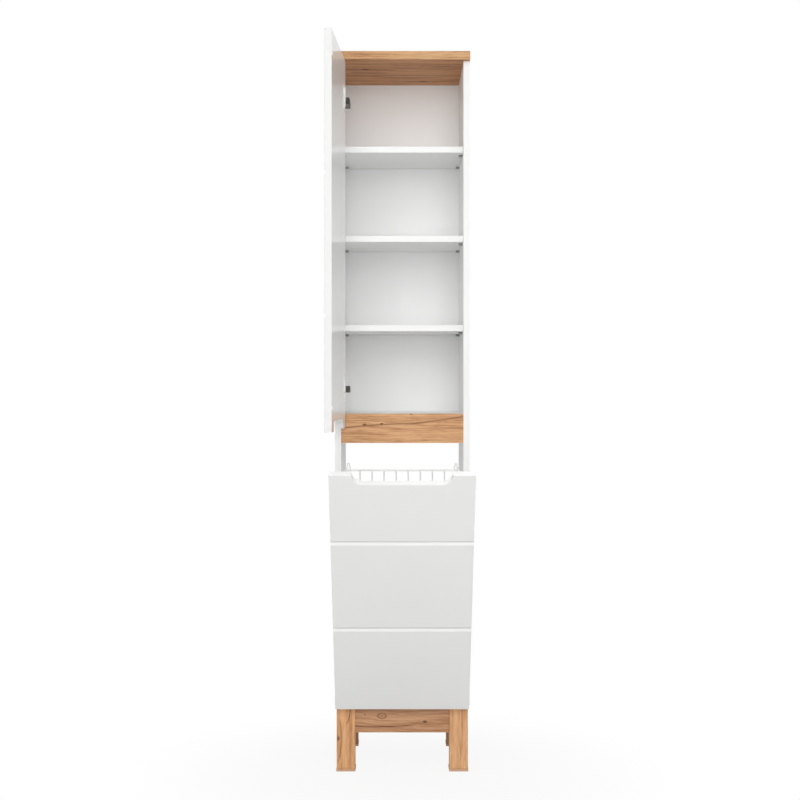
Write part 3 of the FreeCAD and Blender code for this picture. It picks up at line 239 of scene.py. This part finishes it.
def oak(name, along, across, knots=(), cracks=(), tone=None, painted_shade_on_faces=None, edged_ends=False, sway=0.045,
        spread=0.19):
    """Oak board. Each point lies on a grain line: its place across the board, bent by slow waves and pushed
    aside by the knots as water flows round a post, side * (1 - reach^2 / distance^2). Streaks, fibres, veins
    and pores are noise on the grain lines, drawn out along the board. A knot is its place along and across,
    its reach and its core's share of that. A crack is a shallow bow: its start and end along, its start and
    end across, its bow and its thickness. A board may be toned all over, which on the rear legs is painted
    shade, and its broad faces may be toned darker as painted shade; sway sets how far the grain wanders, and
    a small spread parts light and dark grain more."""
    finish = Finish(name)
    through = X_AXIS + Y_AXIS + Z_AXIS - along - across
    place = finish.parts(finish.place)
    length, width, depth = place[along], place[across], place[through]
    if edged_ends:
        turned = finish.step(finish.math("ABSOLUTE", finish.parts(finish.facing)[along]), 0.6, 0.8)
        length, width = finish.between(turned, length, width), finish.between(turned, width, length)
    wave_scale = [WAVE_SCALE_ACROSS] * 3
    wave_scale[along] = WAVE_SCALE_ALONG
    wave = finish.noise(finish.stretch(wave_scale, shift=(3.1, 5.3, 1.9)), 1.0, 2.0)
    wave = finish.math("SUBTRACT", wave, 0.5)
    flow = width
    rings = []
    for knot_length, knot_width, reach, core_share in knots:
        side = finish.math("SUBTRACT", flow, knot_width)
        run = finish.math("DIVIDE", finish.math("SUBTRACT", length, knot_length), KNOT_STRETCH)
        square = finish.math("MULTIPLY_ADD", side, side, finish.math("MULTIPLY", run, run))
        far = finish.math("DIVIDE", finish.math("SQRT", square), reach)
        held = finish.math("POWER", finish.math("MAXIMUM", far, 1.0), -2.0)
        flow = finish.math("MULTIPLY_ADD", side, finish.math("SUBTRACT", 1.0, held), knot_width)
        rings.append((far, core_share))
    line = finish.join(length, finish.math("MULTIPLY_ADD", wave, sway, flow), depth)

    def grain(lengthwise, sideways, detail, shift):
        """Noise on the grain lines, scaled along and across them and shifted apart from other layers."""
        scale = (lengthwise, sideways, sideways * DEPTH_STRETCH)
        return finish.noise(finish.stretch(scale, (shift, shift * 1.7, shift * 0.6), line), 1.0, detail, 0.6)

    broad = grain(lengthwise=4.0, sideways=60.0, detail=2.0, shift=5.2)
    streak = grain(lengthwise=9.0, sideways=260.0, detail=4.0, shift=0.4)
    fibre = grain(lengthwise=36.0, sideways=900.0, detail=2.0, shift=2.2)
    pores = grain(lengthwise=120.0, sideways=2400.0, detail=1.0, shift=7.1)
    tint = finish.math("MULTIPLY_ADD", streak, 0.4, finish.math("MULTIPLY", broad, 0.3))
    tint = finish.math("MULTIPLY_ADD", fibre, 0.3, tint)
    colour = finish.ramp(finish.step(tint, TINT_MIDDLE - spread, TINT_MIDDLE + spread), [
        (0.0, oak_streak), (0.3, oak_dark), (0.62, oak_middle), (1.0, oak_light)])
    contour = grain(lengthwise=2.6, sideways=48.0, detail=2.0, shift=8.3)
    level = finish.math("ABSOLUTE", finish.math("SUBTRACT", contour, 0.5))
    on_contour = finish.step(level, 0.022, 0.004)
    vein = finish.math("MULTIPLY", on_contour, finish.step(streak, 0.4, 0.6, start=0.4, end=0.05))
    colour = finish.blend(vein, colour, oak_streak)
    colour = finish.blend(finish.step(pores, 0.6, 0.76, start=0.0, end=0.4), colour, oak_streak)

    ragged = finish.math("MULTIPLY", finish.math("SUBTRACT", streak, 0.5), 0.9)
    dark = finish.math("MULTIPLY", vein, 0.1)
    for far, core_share in rings:
        worn = finish.math("ADD", far, ragged)
        colour = finish.blend(finish.step(worn, 1.6, 0.8, start=0.0, end=0.5), colour, oak_dark)
        off_rim = finish.math("ABSOLUTE", finish.math("SUBTRACT", worn, 0.95))
        rim = finish.step(off_rim, 0.3, 0.06, start=0.0, end=0.42)
        core = finish.step(worn, core_share * 1.4, core_share * 0.4, start=0.0, end=0.75)
        dark = finish.math("MAXIMUM", dark, finish.math("MAXIMUM", rim, core))
    for crack_start, crack_end, start_width, end_width, bow, thick in cracks:
        share = finish.math("DIVIDE", finish.math("SUBTRACT", length, crack_start), crack_end - crack_start)
        arch = finish.math("MULTIPLY", share, finish.math("SUBTRACT", 1.0, share))
        path = finish.math("MULTIPLY_ADD", share, end_width - start_width, start_width)
        path = finish.math("MULTIPLY_ADD", arch, 4 * bow, path)
        path = finish.math("MULTIPLY_ADD", wave, CRACK_WANDER, path)
        away = finish.math("ABSOLUTE", finish.math("SUBTRACT", width, path))
        faded = finish.step(arch, 0.0, 0.16)
        broken = finish.step(streak, 0.3, 0.62, start=0.95, end=0.35)
        stain = finish.math("MULTIPLY", finish.step(away, thick * 4, 0.0, start=0.0, end=0.6), faded)
        colour = finish.blend(stain, colour, oak_streak)
        split = finish.math("MULTIPLY", finish.step(away, thick, thick * 0.2), broken)
        dark = finish.math("MAXIMUM", dark, finish.math("MULTIPLY", split, faded))
    colour = finish.blend(dark, colour, oak_crack)
    # Toned all over; on the rear legs this tone is painted shade
    if tone:
        colour = finish.blend(1.0, colour, tone + (1.0,), "MULTIPLY")
    # Broad faces toned darker as painted shade
    if painted_shade_on_faces:
        on_face = finish.step(finish.math("ABSOLUTE", finish.parts(finish.facing)[through]), 0.6, 0.8)
        colour = finish.blend(on_face, colour, finish.blend(1.0, colour, painted_shade_on_faces + (1.0,), "MULTIPLY"))
    finish.set(Base_Color=colour, Specular_IOR_Level=0.3)
    finish.set(Roughness=finish.step(finish.math("ADD", fibre, dark), 0.3, 1.0, start=0.5, end=0.7))
    relief = finish.math("MULTIPLY_ADD", pores, -0.5, finish.math("MULTIPLY", fibre, 0.6))
    finish.bump(finish.math("SUBTRACT", relief, dark), OAK_RELIEF)
    return finish.material


# Metal: scratches drawn along Y, the hinge arms' length, and clouds
SCRATCH_SCALE = (2600.0, 90.0, 2600.0)
SCRATCH_DEPTH = 0.000005
METAL_CLOUD_SCALE = 60.0


def metal(name, shade, roughness, bare=1.0):
    """Metal with fine drawn scratches along the hinge arms and cloudy roughness; a satin plating is only
    partly bare, and on the hinge cups its pale unbare share is also a painted highlight."""
    finish = Finish(name)
    scratch = finish.noise(finish.stretch(SCRATCH_SCALE), 1.0, 2.0)
    cloud = finish.noise(finish.place, METAL_CLOUD_SCALE, 3.0)
    colour = finish.blend(finish.step(scratch, 0.3, 0.7), shaded(shade, 0.88), shade)
    dulled = finish.math("ADD", scratch, cloud)
    drift = finish.step(dulled, 0.6, 1.4, start=roughness * 0.7, end=roughness * 1.3)
    finish.set(Base_Color=colour, Metallic=bare, Roughness=drift)
    finish.bump(scratch, SCRATCH_DEPTH)
    return finish.material


def moulded(name, shade, roughness, grain, depth):
    """Moulded plastic or rubber: even tone with a fine grained skin."""
    finish = Finish(name)
    skin = finish.noise(finish.place, grain, 2.0)
    paler = tuple(min(1.0, channel * 1.18) for channel in shade[:3]) + (1.0,)
    finish.set(Base_Color=finish.blend(finish.step(skin, 0.3, 0.75), shade, paler))
    finish.set(Roughness=finish.step(skin, 0.3, 0.7, start=roughness * 0.85, end=roughness * 1.15))
    finish.bump(skin, depth)
    return finish.material


# Finishes of the record's slots
lacquer_white = linear(237, 237, 235)
finishes = {
    # White boards: edges to the front are an edging white, partly darker as painted shade
    "white_board": white_coat("white_board_coat", linear(250, 250, 249), roughness=0.42, peel=0.00002,
                              front_edging_and_painted_shade=linear(240, 240, 239)),
    "white_back": white_coat("white_back_coat", linear(251, 251, 251), roughness=0.5, peel=0.00003,
                             raw_back=linear(203, 170, 132)),
    # Hamper front: its faces that look up are whiter as painted light
    "white_front": white_coat("white_hamper_lacquer", lacquer_white, roughness=0.45, peel=0.000002, coat=0.2,
                              painted_light_on_up_faces=linear(249, 249, 248)),
    "white_wire": white_coat("white_wire_coat", linear(247, 247, 246), roughness=0.34, peel=0.00001),
    "white_bracket": white_coat("white_bracket_coat", linear(232, 232, 230), roughness=0.38, peel=0.00001),
    "hinge_steel": metal("hinge_nickel", linear(96, 93, 89), roughness=0.34),
    "pin_steel": metal("pin_steel", linear(190, 190, 188), roughness=0.28),
    "screw_steel": metal("screw_zinc", linear(178, 176, 170), roughness=0.35),
    "grey_pin": metal("grey_pin_zinc", linear(165, 165, 166), roughness=0.45, bare=0.4),
    "foot_cap": moulded("foot_cap_brown", linear(196, 157, 125), roughness=0.5, grain=1100.0, depth=0.00003),
    "clear_buffer": moulded("buffer_milky", linear(222, 222, 218), roughness=0.35, grain=500.0,
                            depth=0.00001),
    "white_clip": moulded("clip_white", linear(234, 234, 232), roughness=0.45, grain=900.0, depth=0.00002),
    "beech_dowel": oak("beech_dowel", X_AXIS, Z_AXIS),
}

# Finishes that single nodes have to themselves
# Hinge cups: pale satin nickel whose unbare share is also a painted highlight
cup_nickel_and_painted_highlight = metal("hinge_cup_nickel", linear(236, 235, 232), roughness=0.3, bare=0.45)
own_finishes = {
    # Door: its inner face is whiter than its outer face to the left as painted light, and its free edge to
    # the front is darker as painted shade
    "door_panel": white_coat("white_door_lacquer", linear(246, 246, 244), roughness=0.45, peel=0.000002,
                             coat=0.7, front_edging_and_painted_shade=linear(230, 230, 228), left_face=lacquer_white),
    "upper_hinge_cup": cup_nickel_and_painted_highlight,
    "lower_hinge_cup": cup_nickel_and_painted_highlight,
}
# Rear legs darker all over: painted shade under the cabinet
painted_shade_rear_legs = (0.78, 0.68, 0.58)
oak_finishes = {
    # Oak top: its broad faces are toned darker and redder as painted shade
    "top_panel": oak("oak_top", X_AXIS, Y_AXIS,
                     knots=[(-0.098, 0.118, 0.006, 0.9),
                            (0.058, 0.268, 0.006, 0.9)],
                     cracks=[(-0.17, -0.01, 0.112, 0.128, 0.004, 0.0022),
                             (-0.15, -0.03, 0.148, 0.156, 0.006, 0.002),
                             (0.0, 0.16, 0.272, 0.262, 0.004, 0.0022),
                             (0.07, 0.19, 0.09, 0.105, -0.012, 0.002),
                             (-0.12, 0.12, 0.205, 0.215, 0.008, 0.0014)],
                     tone=(0.88, 0.91, 0.88), painted_shade_on_faces=(1.05, 0.87, 0.76), edged_ends=True, sway=0.012,
                     spread=0.12),
    "cross_rail": oak("oak_cross_rail", X_AXIS, Z_AXIS,
                      knots=[(-0.098, 0.9035, 0.0032, 1.0),
                             (-0.053, 0.9055, 0.0026, 1.0),
                             (0.023, 0.931, 0.002, 1.0)],
                      cracks=[(-0.18, 0.07, 0.893, 0.905, 0.006, 0.0013),
                              (0.0, 0.21, 0.904, 0.935, -0.002, 0.0012)]),
    # Front apron: its broad faces are toned darker and cooler as painted shade below the hamper
    "front_apron": oak("oak_front_apron", X_AXIS, Z_AXIS,
                       knots=[(-0.053, 0.143, 0.0068, 0.12),
                              (0.059, 0.128, 0.003, 1.0),
                              (-0.097, 0.146, 0.0014, 1.0)],
                       cracks=[(-0.15, 0.045, 0.121, 0.121, -0.006, 0.0013)],
                       painted_shade_on_faces=(0.83, 0.81, 0.86)),
    "rear_apron": oak("oak_rear_apron", X_AXIS, Z_AXIS),
    "left_apron": oak("oak_left_apron", Y_AXIS, Z_AXIS),
    "right_apron": oak("oak_right_apron", Y_AXIS, Z_AXIS),
    "front_left_leg": oak("oak_front_left_leg", Z_AXIS, X_AXIS,
                          knots=[(0.086, -0.166, 0.003, 0.8)],
                          cracks=[(0.02, 0.14, -0.167, -0.163, 0.006, 0.0012),
                                  (0.12, 0.17, -0.146, -0.135, 0.003, 0.001)],
                          tone=(1.08, 1.04, 0.98)),
    "front_right_leg": oak("oak_front_right_leg", Z_AXIS, X_AXIS, tone=(1.08, 1.06, 1.05)),
    "rear_left_leg": oak("oak_rear_left_leg", Z_AXIS, X_AXIS, tone=painted_shade_rear_legs),
    "rear_right_leg": oak("oak_rear_right_leg", Z_AXIS, X_AXIS, tone=painted_shade_rear_legs),
}
for part in frame["record"]["subparts"]:
    name = part["node"]
    if part["material_slot"] == "oak":
        chosen = oak_finishes[name]
    else:
        chosen = own_finishes.get(name, finishes[part["material_slot"]])
    mesh = nodes[name].data
    mesh.materials.clear()
    mesh.materials.append(chosen)

# Shapes made from grids of points
CORNER_DIGITS = 7
SHARP_ANGLE = math.radians(35)


def solids_of(node):
    """The corner points of each separate solid in a node: faces that share a corner share the least label."""
    mesh = nodes[node].data
    points = np.empty(len(mesh.vertices) * 3)
    mesh.vertices.foreach_get("co", points)
    corners = np.empty(len(mesh.loops), int)
    mesh.loops.foreach_get("vertex_index", corners)
    places, spot = np.unique(points.reshape(-1, 3).round(CORNER_DIGITS), axis=0, return_inverse=True)
    faces = spot.reshape(-1)[corners].reshape(-1, 3)
    label = np.arange(len(places))
    while True:
        lower = label.copy()
        np.minimum.at(lower, faces.reshape(-1), np.repeat(label[faces].min(axis=1), 3))
        if (lower == label).all():
            return [places[label == mark] for mark in np.unique(label)]
        label = lower


def turned_piece(name, grids, finish, body):
    """A piece of closed turned shapes. Each grid has rows of points round an axis; its first and last row
    close to a point, and its columns run round counter-clockwise seen from the last row."""
    count, rows, columns = grids.shape[:3]
    poles = grids[:, [0, -1]].mean(axis=2)
    points = np.concatenate([grids[:, 1:-1].reshape(count, -1, 3), poles], axis=1)
    ring = np.arange((rows - 2) * columns).reshape(rows - 2, columns)
    beside = np.roll(ring, -1, axis=1)
    quads = np.stack([ring[:-1], beside[:-1], beside[1:], ring[1:]], axis=-1).reshape(-1, 4)
    first, last = ring.size, ring.size + 1
    start = np.stack([np.full(columns, first), beside[0], ring[0]], axis=-1)
    end = np.stack([ring[-1], beside[-1], np.full(columns, last)], axis=-1)
    offsets = np.arange(count)[:, None, None] * (ring.size + 2)
    sides = (quads + offsets).reshape(-1, 4).tolist()
    caps = (np.concatenate([start, end]) + offsets).reshape(-1, 3).tolist()
    mesh = bpy.data.meshes.new(name)
    mesh.from_pydata(points.reshape(-1, 3).tolist(), [], sides + caps)
    mesh.shade_smooth()
    mesh.set_sharp_from_angle(angle=SHARP_ANGLE)
    mesh.materials.append(finish)
    piece = bpy.data.objects.new(name, mesh)
    bpy.context.scene.collection.objects.link(piece)
    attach(piece, body)
    return piece


# Recesses: half width, soft edge and reach as shares of the head's radius
ARM_HALF = 0.16
ARM_EDGE = 0.06
ARM_REACH = 0.62
SOCKET_HALF = 0.4
SOCKET_EDGE = 0.08


def cross_recess(across, along, reach):
    """Depth share of a cross recess: wedge arms along two axes that shallow out to their reach."""
    off_arm = np.minimum(abs(across), abs(along))
    arm = np.clip((ARM_HALF * reach - off_arm) / (ARM_EDGE * reach) + 0.5, 0, 1)
    far = np.hypot(across, along) / reach
    return arm * np.clip(1.0 - (far / ARM_REACH) ** 2, 0, 1)


def socket_recess(across, along, reach):
    """Depth share of a six-sided socket: full inside the hexagon, the least of three strips."""
    angles = np.arange(3) * math.pi / 3
    out = np.max([abs(across * math.cos(angle) + along * math.sin(angle)) for angle in angles], axis=0)
    return np.clip((SOCKET_HALF * reach - out) / (SOCKET_EDGE * reach) + 0.5, 0, 1)


# Screws: points round and along them, then shares of the shank's radius
SCREW_COLUMNS = 48
THREAD_ROWS = 44
CROWN_ROWS = 18
PLAIN_ROWS = 4
CORE_SHARE = 0.78
RIDGE_SHARE = 0.21
PITCH_SHARE = 0.55
RIDGE_STEEPNESS = 3.0

# Domed and flat heads: the rim's share of the head's height, and the power of the crown's fall
DOMED_RIM, DOMED_FALL = 0.35, 1.0
FLAT_RIM, FLAT_FALL = 0.9, 0.5

# A direction that no screw has, to set out its first side from
ASKEW = (0.3, 0.5, 0.8)


def screw(middle, axis, tip, seat, top, shank, head, twist, recess, depth, domed):
    """One screw, as rows of points round its axis. In turn: a point, a thread whose radius is the core plus a
    ridge of saw shape in height over pitch less the turn, a neck, the head's seat, its rim, and a crown of
    elliptic rise with the recess pressed into it."""
    turn = np.arange(SCREW_COLUMNS) / SCREW_COLUMNS * 2 * math.pi
    rim_share, fall = (DOMED_RIM, DOMED_FALL) if domed else (FLAT_RIM, FLAT_FALL)
    rim = seat + (top - seat) * rim_share
    thread = np.linspace(tip + 0.8 * shank, seat - 0.5 * shank, THREAD_ROWS)
    crown = np.linspace(0, math.pi / 2, CROWN_ROWS)[1:]
    point_level = [tip, tip + 0.1 * shank]
    head_level = [seat - 0.2 * shank, seat, seat, rim]
    level = np.concatenate([point_level, thread, head_level, rim + (top - rim) * np.sin(crown)])
    point_reach = [0, 0.25 * shank]
    core_reach = np.full(len(thread), CORE_SHARE * shank)
    head_reach = [0.9 * shank, shank, head, head]
    crown_reach = head * np.cos(crown) ** fall
    reach = np.concatenate([point_reach, core_reach, head_reach, crown_reach])
    phase = (level[:, None] / (PITCH_SHARE * shank) - turn / (2 * math.pi)) % 1.0
    ridge = np.clip(1.0 - RIDGE_STEEPNESS * abs(phase - 0.5), 0, 1)
    ridge[:PLAIN_ROWS] = 0
    ridge[len(thread):] = 0
    around = reach[:, None] + RIDGE_SHARE * shank * ridge
    pressed = recess(around * np.cos(turn), around * np.sin(turn), head)
    pressed[:-len(crown)] = 0
    lift = level[:, None] - depth * head * pressed
    side = np.cross(ASKEW, axis)
    side /= np.linalg.norm(side)
    across = around * np.cos(turn + twist)
    along = around * np.sin(turn + twist)
    sideways = across[..., None] * side + along[..., None] * np.cross(axis, side)
    return middle + sideways + lift[..., None] * axis


def screw_set(name, node, body, recess, depth, domed):
    """Screws in the places of a node's plain ones; each plain one gives its axis, lengths and radii."""
    shapes = []
    for number, points in enumerate(solids_of(node)):
        middle = points.mean(axis=0)
        axis = np.linalg.svd(points - middle, full_matrices=False)[2][0]
        level = (points - middle) @ axis
        radius = np.linalg.norm(points - middle - level[:, None] * axis, axis=1)
        in_head = radius > 0.8 * radius.max()
        if level[in_head].mean() < level.mean():
            axis, level = -axis, -level
        shapes.append(screw(middle, axis, tip=level.min(), seat=level[in_head].min(), top=level.max(),
                            shank=radius[~in_head].max(), head=radius.max(), twist=number, recess=recess,
                            depth=depth, domed=domed))
    piece = turned_piece(name, np.array(shapes), finishes["screw_steel"], body)
    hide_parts(node)


screw_set("pan_head_screws", "carcass_screws", "carcass", cross_recess, depth=0.42, domed=True)
screw_set("hinge_flange_screws", "hinge_cup_screws", "door", cross_recess, depth=0.42, domed=False)
screw_set("hamper_bracket_screws", "hamper_screws", "hamper", cross_recess, depth=0.42, domed=True)
screw_set("leg_frame_bolts", "frame_bolts", "carcass", socket_recess, depth=0.3, domed=False)

# Two adjusting screws on each hinge arm, each given by its turn and its share of the arm's length
off_side_board = np.array([1.0, 0, 0])
adjusters = []
for arm in ("upper_hinge_arm", "lower_hinge_arm"):
    low, high = np.array(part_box(arm))
    for twist, share in ((0.4, 0.42), (1.1, 0.76)):
        place = np.array([high[0], low[1] + share * (high[1] - low[1]), (low[2] + high[2]) / 2])
        adjusters.append(screw(place, off_side_board, tip=-0.003, seat=0.0, top=0.0011, shank=0.002,
                               head=0.0034, twist=twist, recess=cross_recess, depth=0.3, domed=True))
turned_piece("hinge_adjusting_screws", np.array(adjusters), finishes["screw_steel"], "carcass")

# The open door leans a little past square; run is along its inner face from the hinge edge, out is off it
DOOR_LEAN = math.radians(3)
door_run = np.array([-math.sin(DOOR_LEAN), -math.cos(DOOR_LEAN), 0])
door_out = np.array([math.cos(DOOR_LEAN), -math.sin(DOOR_LEAN), 0])
door_up = np.array([0, 0, 1])

# A lip: points round it, the power of its oval, its seat, and the size and place of its rows
LIP_COLUMNS = 40
OVAL_POWER = 4
LIP_SEAT = 0.4
lip_size = np.array([0, 0.6, 0.9, 1, 1, 0.9, 0.6, 0])
lip_level = np.array([-1, -1, -0.98, -0.95, 0.95, 0.98, 1, 1])


def flange_lip(node, thick, height, half_length):
    """A rounded bar upright on the far edge of a hinge cup's flange: a fourth-power oval carried along its
    length and drawn in at both ends."""
    points = np.concatenate(solids_of(node))
    middle = (points[:, 2].min() + points[:, 2].max()) / 2
    foot = ((points @ door_run).max() - thick / 2) * door_run
    foot = foot + ((points @ door_out).max() + LIP_SEAT * height) * door_out + middle * door_up
    turn = np.arange(LIP_COLUMNS) / LIP_COLUMNS * 2 * math.pi
    across = thick / 2 * np.sign(np.cos(turn)) * abs(np.cos(turn)) ** (2 / OVAL_POWER)
    along = height / 2 * np.sign(np.sin(turn)) * abs(np.sin(turn)) ** (2 / OVAL_POWER)
    oval = across[:, None] * door_run + along[:, None] * door_out
    level = half_length * lip_level
    return foot + lip_size[:, None, None] * oval + level[:, None, None] * door_up


lips = [flange_lip(cup, thick=0.0014, height=0.003, half_length=0.026)
        for cup in ("upper_hinge_cup", "lower_hinge_cup")]
turned_piece("hinge_flange_lips", np.array(lips), cup_nickel_and_painted_highlight, "door")


def staged(name, corners, finish):
    """A flat sheet of the stage through its corners."""
    mesh = bpy.data.meshes.new(name)
    mesh.from_pydata(corners, [], [list(range(len(corners)))])
    sheet = bpy.data.objects.new(name, mesh)
    bpy.context.scene.collection.objects.link(sheet)
    mesh.materials.append(finish)


def seen_directly(tree):
    """One where a camera, glossy or transmitted ray looks straight at the stage, else zero."""
    path = tree.nodes.new("ShaderNodeLightPath")
    total = path.outputs["Is Camera Ray"]
    for name in ("Is Glossy Ray", "Is Transmission Ray"):
        add = tree.nodes.new("ShaderNodeMath")
        add.operation = "ADD"
        add.use_clamp = True
        tree.links.new(total, add.inputs[0])
        tree.links.new(path.outputs[name], add.inputs[1])
        total = add.outputs[0]
    return total


# Pale floor: plain near the cabinet, where it takes the shadow, and white further out
FLOOR_HALF = 8
FLOOR_LEVEL = -0.0004
PLAIN_REACH = 0.25
WHITE_REACH = 0.8
floor = Finish("pale_floor")
floor.set(Base_Color=linear(206, 206, 206), Roughness=0.9)
floor_place = floor.parts(floor.place)
across_square = floor.math("MULTIPLY", floor_place[X_AXIS], floor_place[X_AXIS])
back_square = floor.math("MULTIPLY", floor_place[Y_AXIS], floor_place[Y_AXIS])
floor_reach = floor.math("SQRT", floor.math("ADD", across_square, back_square))
white_share = floor.step(floor_reach, PLAIN_REACH, WHITE_REACH, start=0.9, end=1.0)
glow = floor.add("ShaderNodeEmission")
glow.inputs["Color"].default_value = (1, 1, 1, 1)
mixed = floor.add("ShaderNodeMixShader")
floor.feed(mixed.inputs[0], floor.math("MULTIPLY", white_share, seen_directly(floor.tree)))
floor.tree.links.new(floor.shader.outputs[0], mixed.inputs[1])
floor.tree.links.new(glow.outputs[0], mixed.inputs[2])
floor.tree.links.new(mixed.outputs[0], floor.output.inputs[0])
floor_corners = [(-FLOOR_HALF, -FLOOR_HALF, FLOOR_LEVEL), (FLOOR_HALF, -FLOOR_HALF, FLOOR_LEVEL),
                 (FLOOR_HALF, FLOOR_HALF, FLOOR_LEVEL), (-FLOOR_HALF, FLOOR_HALF, FLOOR_LEVEL)]
staged("floor", floor_corners, floor.material)

# Soft light all round, white where the camera looks past the cabinet
world = bpy.data.worlds.new("studio")
bpy.context.scene.world = world
world.use_nodes = True
sky = world.node_tree
sky.nodes.clear()
soft = sky.nodes.new("ShaderNodeBackground")
soft.inputs["Color"].default_value = (0.98, 0.99, 1.0, 1)
soft.inputs["Strength"].default_value = 0.255
white = sky.nodes.new("ShaderNodeBackground")
white.inputs["Color"].default_value = (1, 1, 1, 1)
white.inputs["Strength"].default_value = 1.0
both = sky.nodes.new("ShaderNodeMixShader")
sky.links.new(seen_directly(sky), both.inputs[0])
sky.links.new(soft.outputs[0], both.inputs[1])
sky.links.new(white.outputs[0], both.inputs[2])
sky.links.new(both.outputs[0], sky.nodes.new("ShaderNodeOutputWorld").inputs[0])


def softbox(name, place, target, width, height, power):
    """A large soft lamp that faces the target."""
    lamp = bpy.data.lights.new(name, "AREA")
    lamp.shape = "RECTANGLE"
    lamp.size = width
    lamp.size_y = height
    lamp.energy = power
    box = bpy.data.objects.new(name, lamp)
    bpy.context.scene.collection.objects.link(box)
    aim = np.array(target, float) - np.array(place, float)
    tilt = math.pi / 2 + math.atan2(aim[2], math.hypot(aim[0], aim[1]))
    heading = math.atan2(aim[1], aim[0]) - math.pi / 2
    box.location = place
    box.visible_glossy = False
    box.rotation_euler = (tilt, 0, heading)


softbox("front_softbox", (0.0, -4.6, 1.3), (0, 0, 0.95), width=2.6, height=2.0, power=58)
softbox("high_softbox", (0.0, -4.0, 3.0), (0, 0, 0.95), width=2.6, height=2.0, power=60)
softbox("ceiling_softbox", (0.0, 0.2, 6.0), (0, 0.21, 0.95), width=3.6, height=3.6, power=92)
softbox("right_softbox", (4.2, -2.4, 1.8), (0, 0, 1.1), width=2.0, height=2.2, power=42)
softbox("left_softbox", (-4.2, -1.6, 1.8), (0, 0, 1.1), width=2.0, height=2.2, power=33)
softbox("rear_softbox", (0.0, 3.6, 4.2), (0, 0.3, 1.2), width=2.6, height=2.0, power=30)

# Camera on the cabinet's middle plane, level, at the photographed distance
camera_data = bpy.data.cameras.new("camera")
camera_data.lens = 62.75
camera_data.sensor_width = 36
camera_data.shift_x = -0.0028
camera_data.shift_y = -0.0234
camera_data.clip_end = 60
camera = bpy.data.objects.new("camera", camera_data)
camera.location = (0, -3.6026, 1.0163)
camera.rotation_euler = (math.pi / 2, 0, 0)
bpy.context.scene.collection.objects.link(camera)
bpy.context.scene.camera = camera
bpy.context.scene.view_settings.view_transform = "Standard"
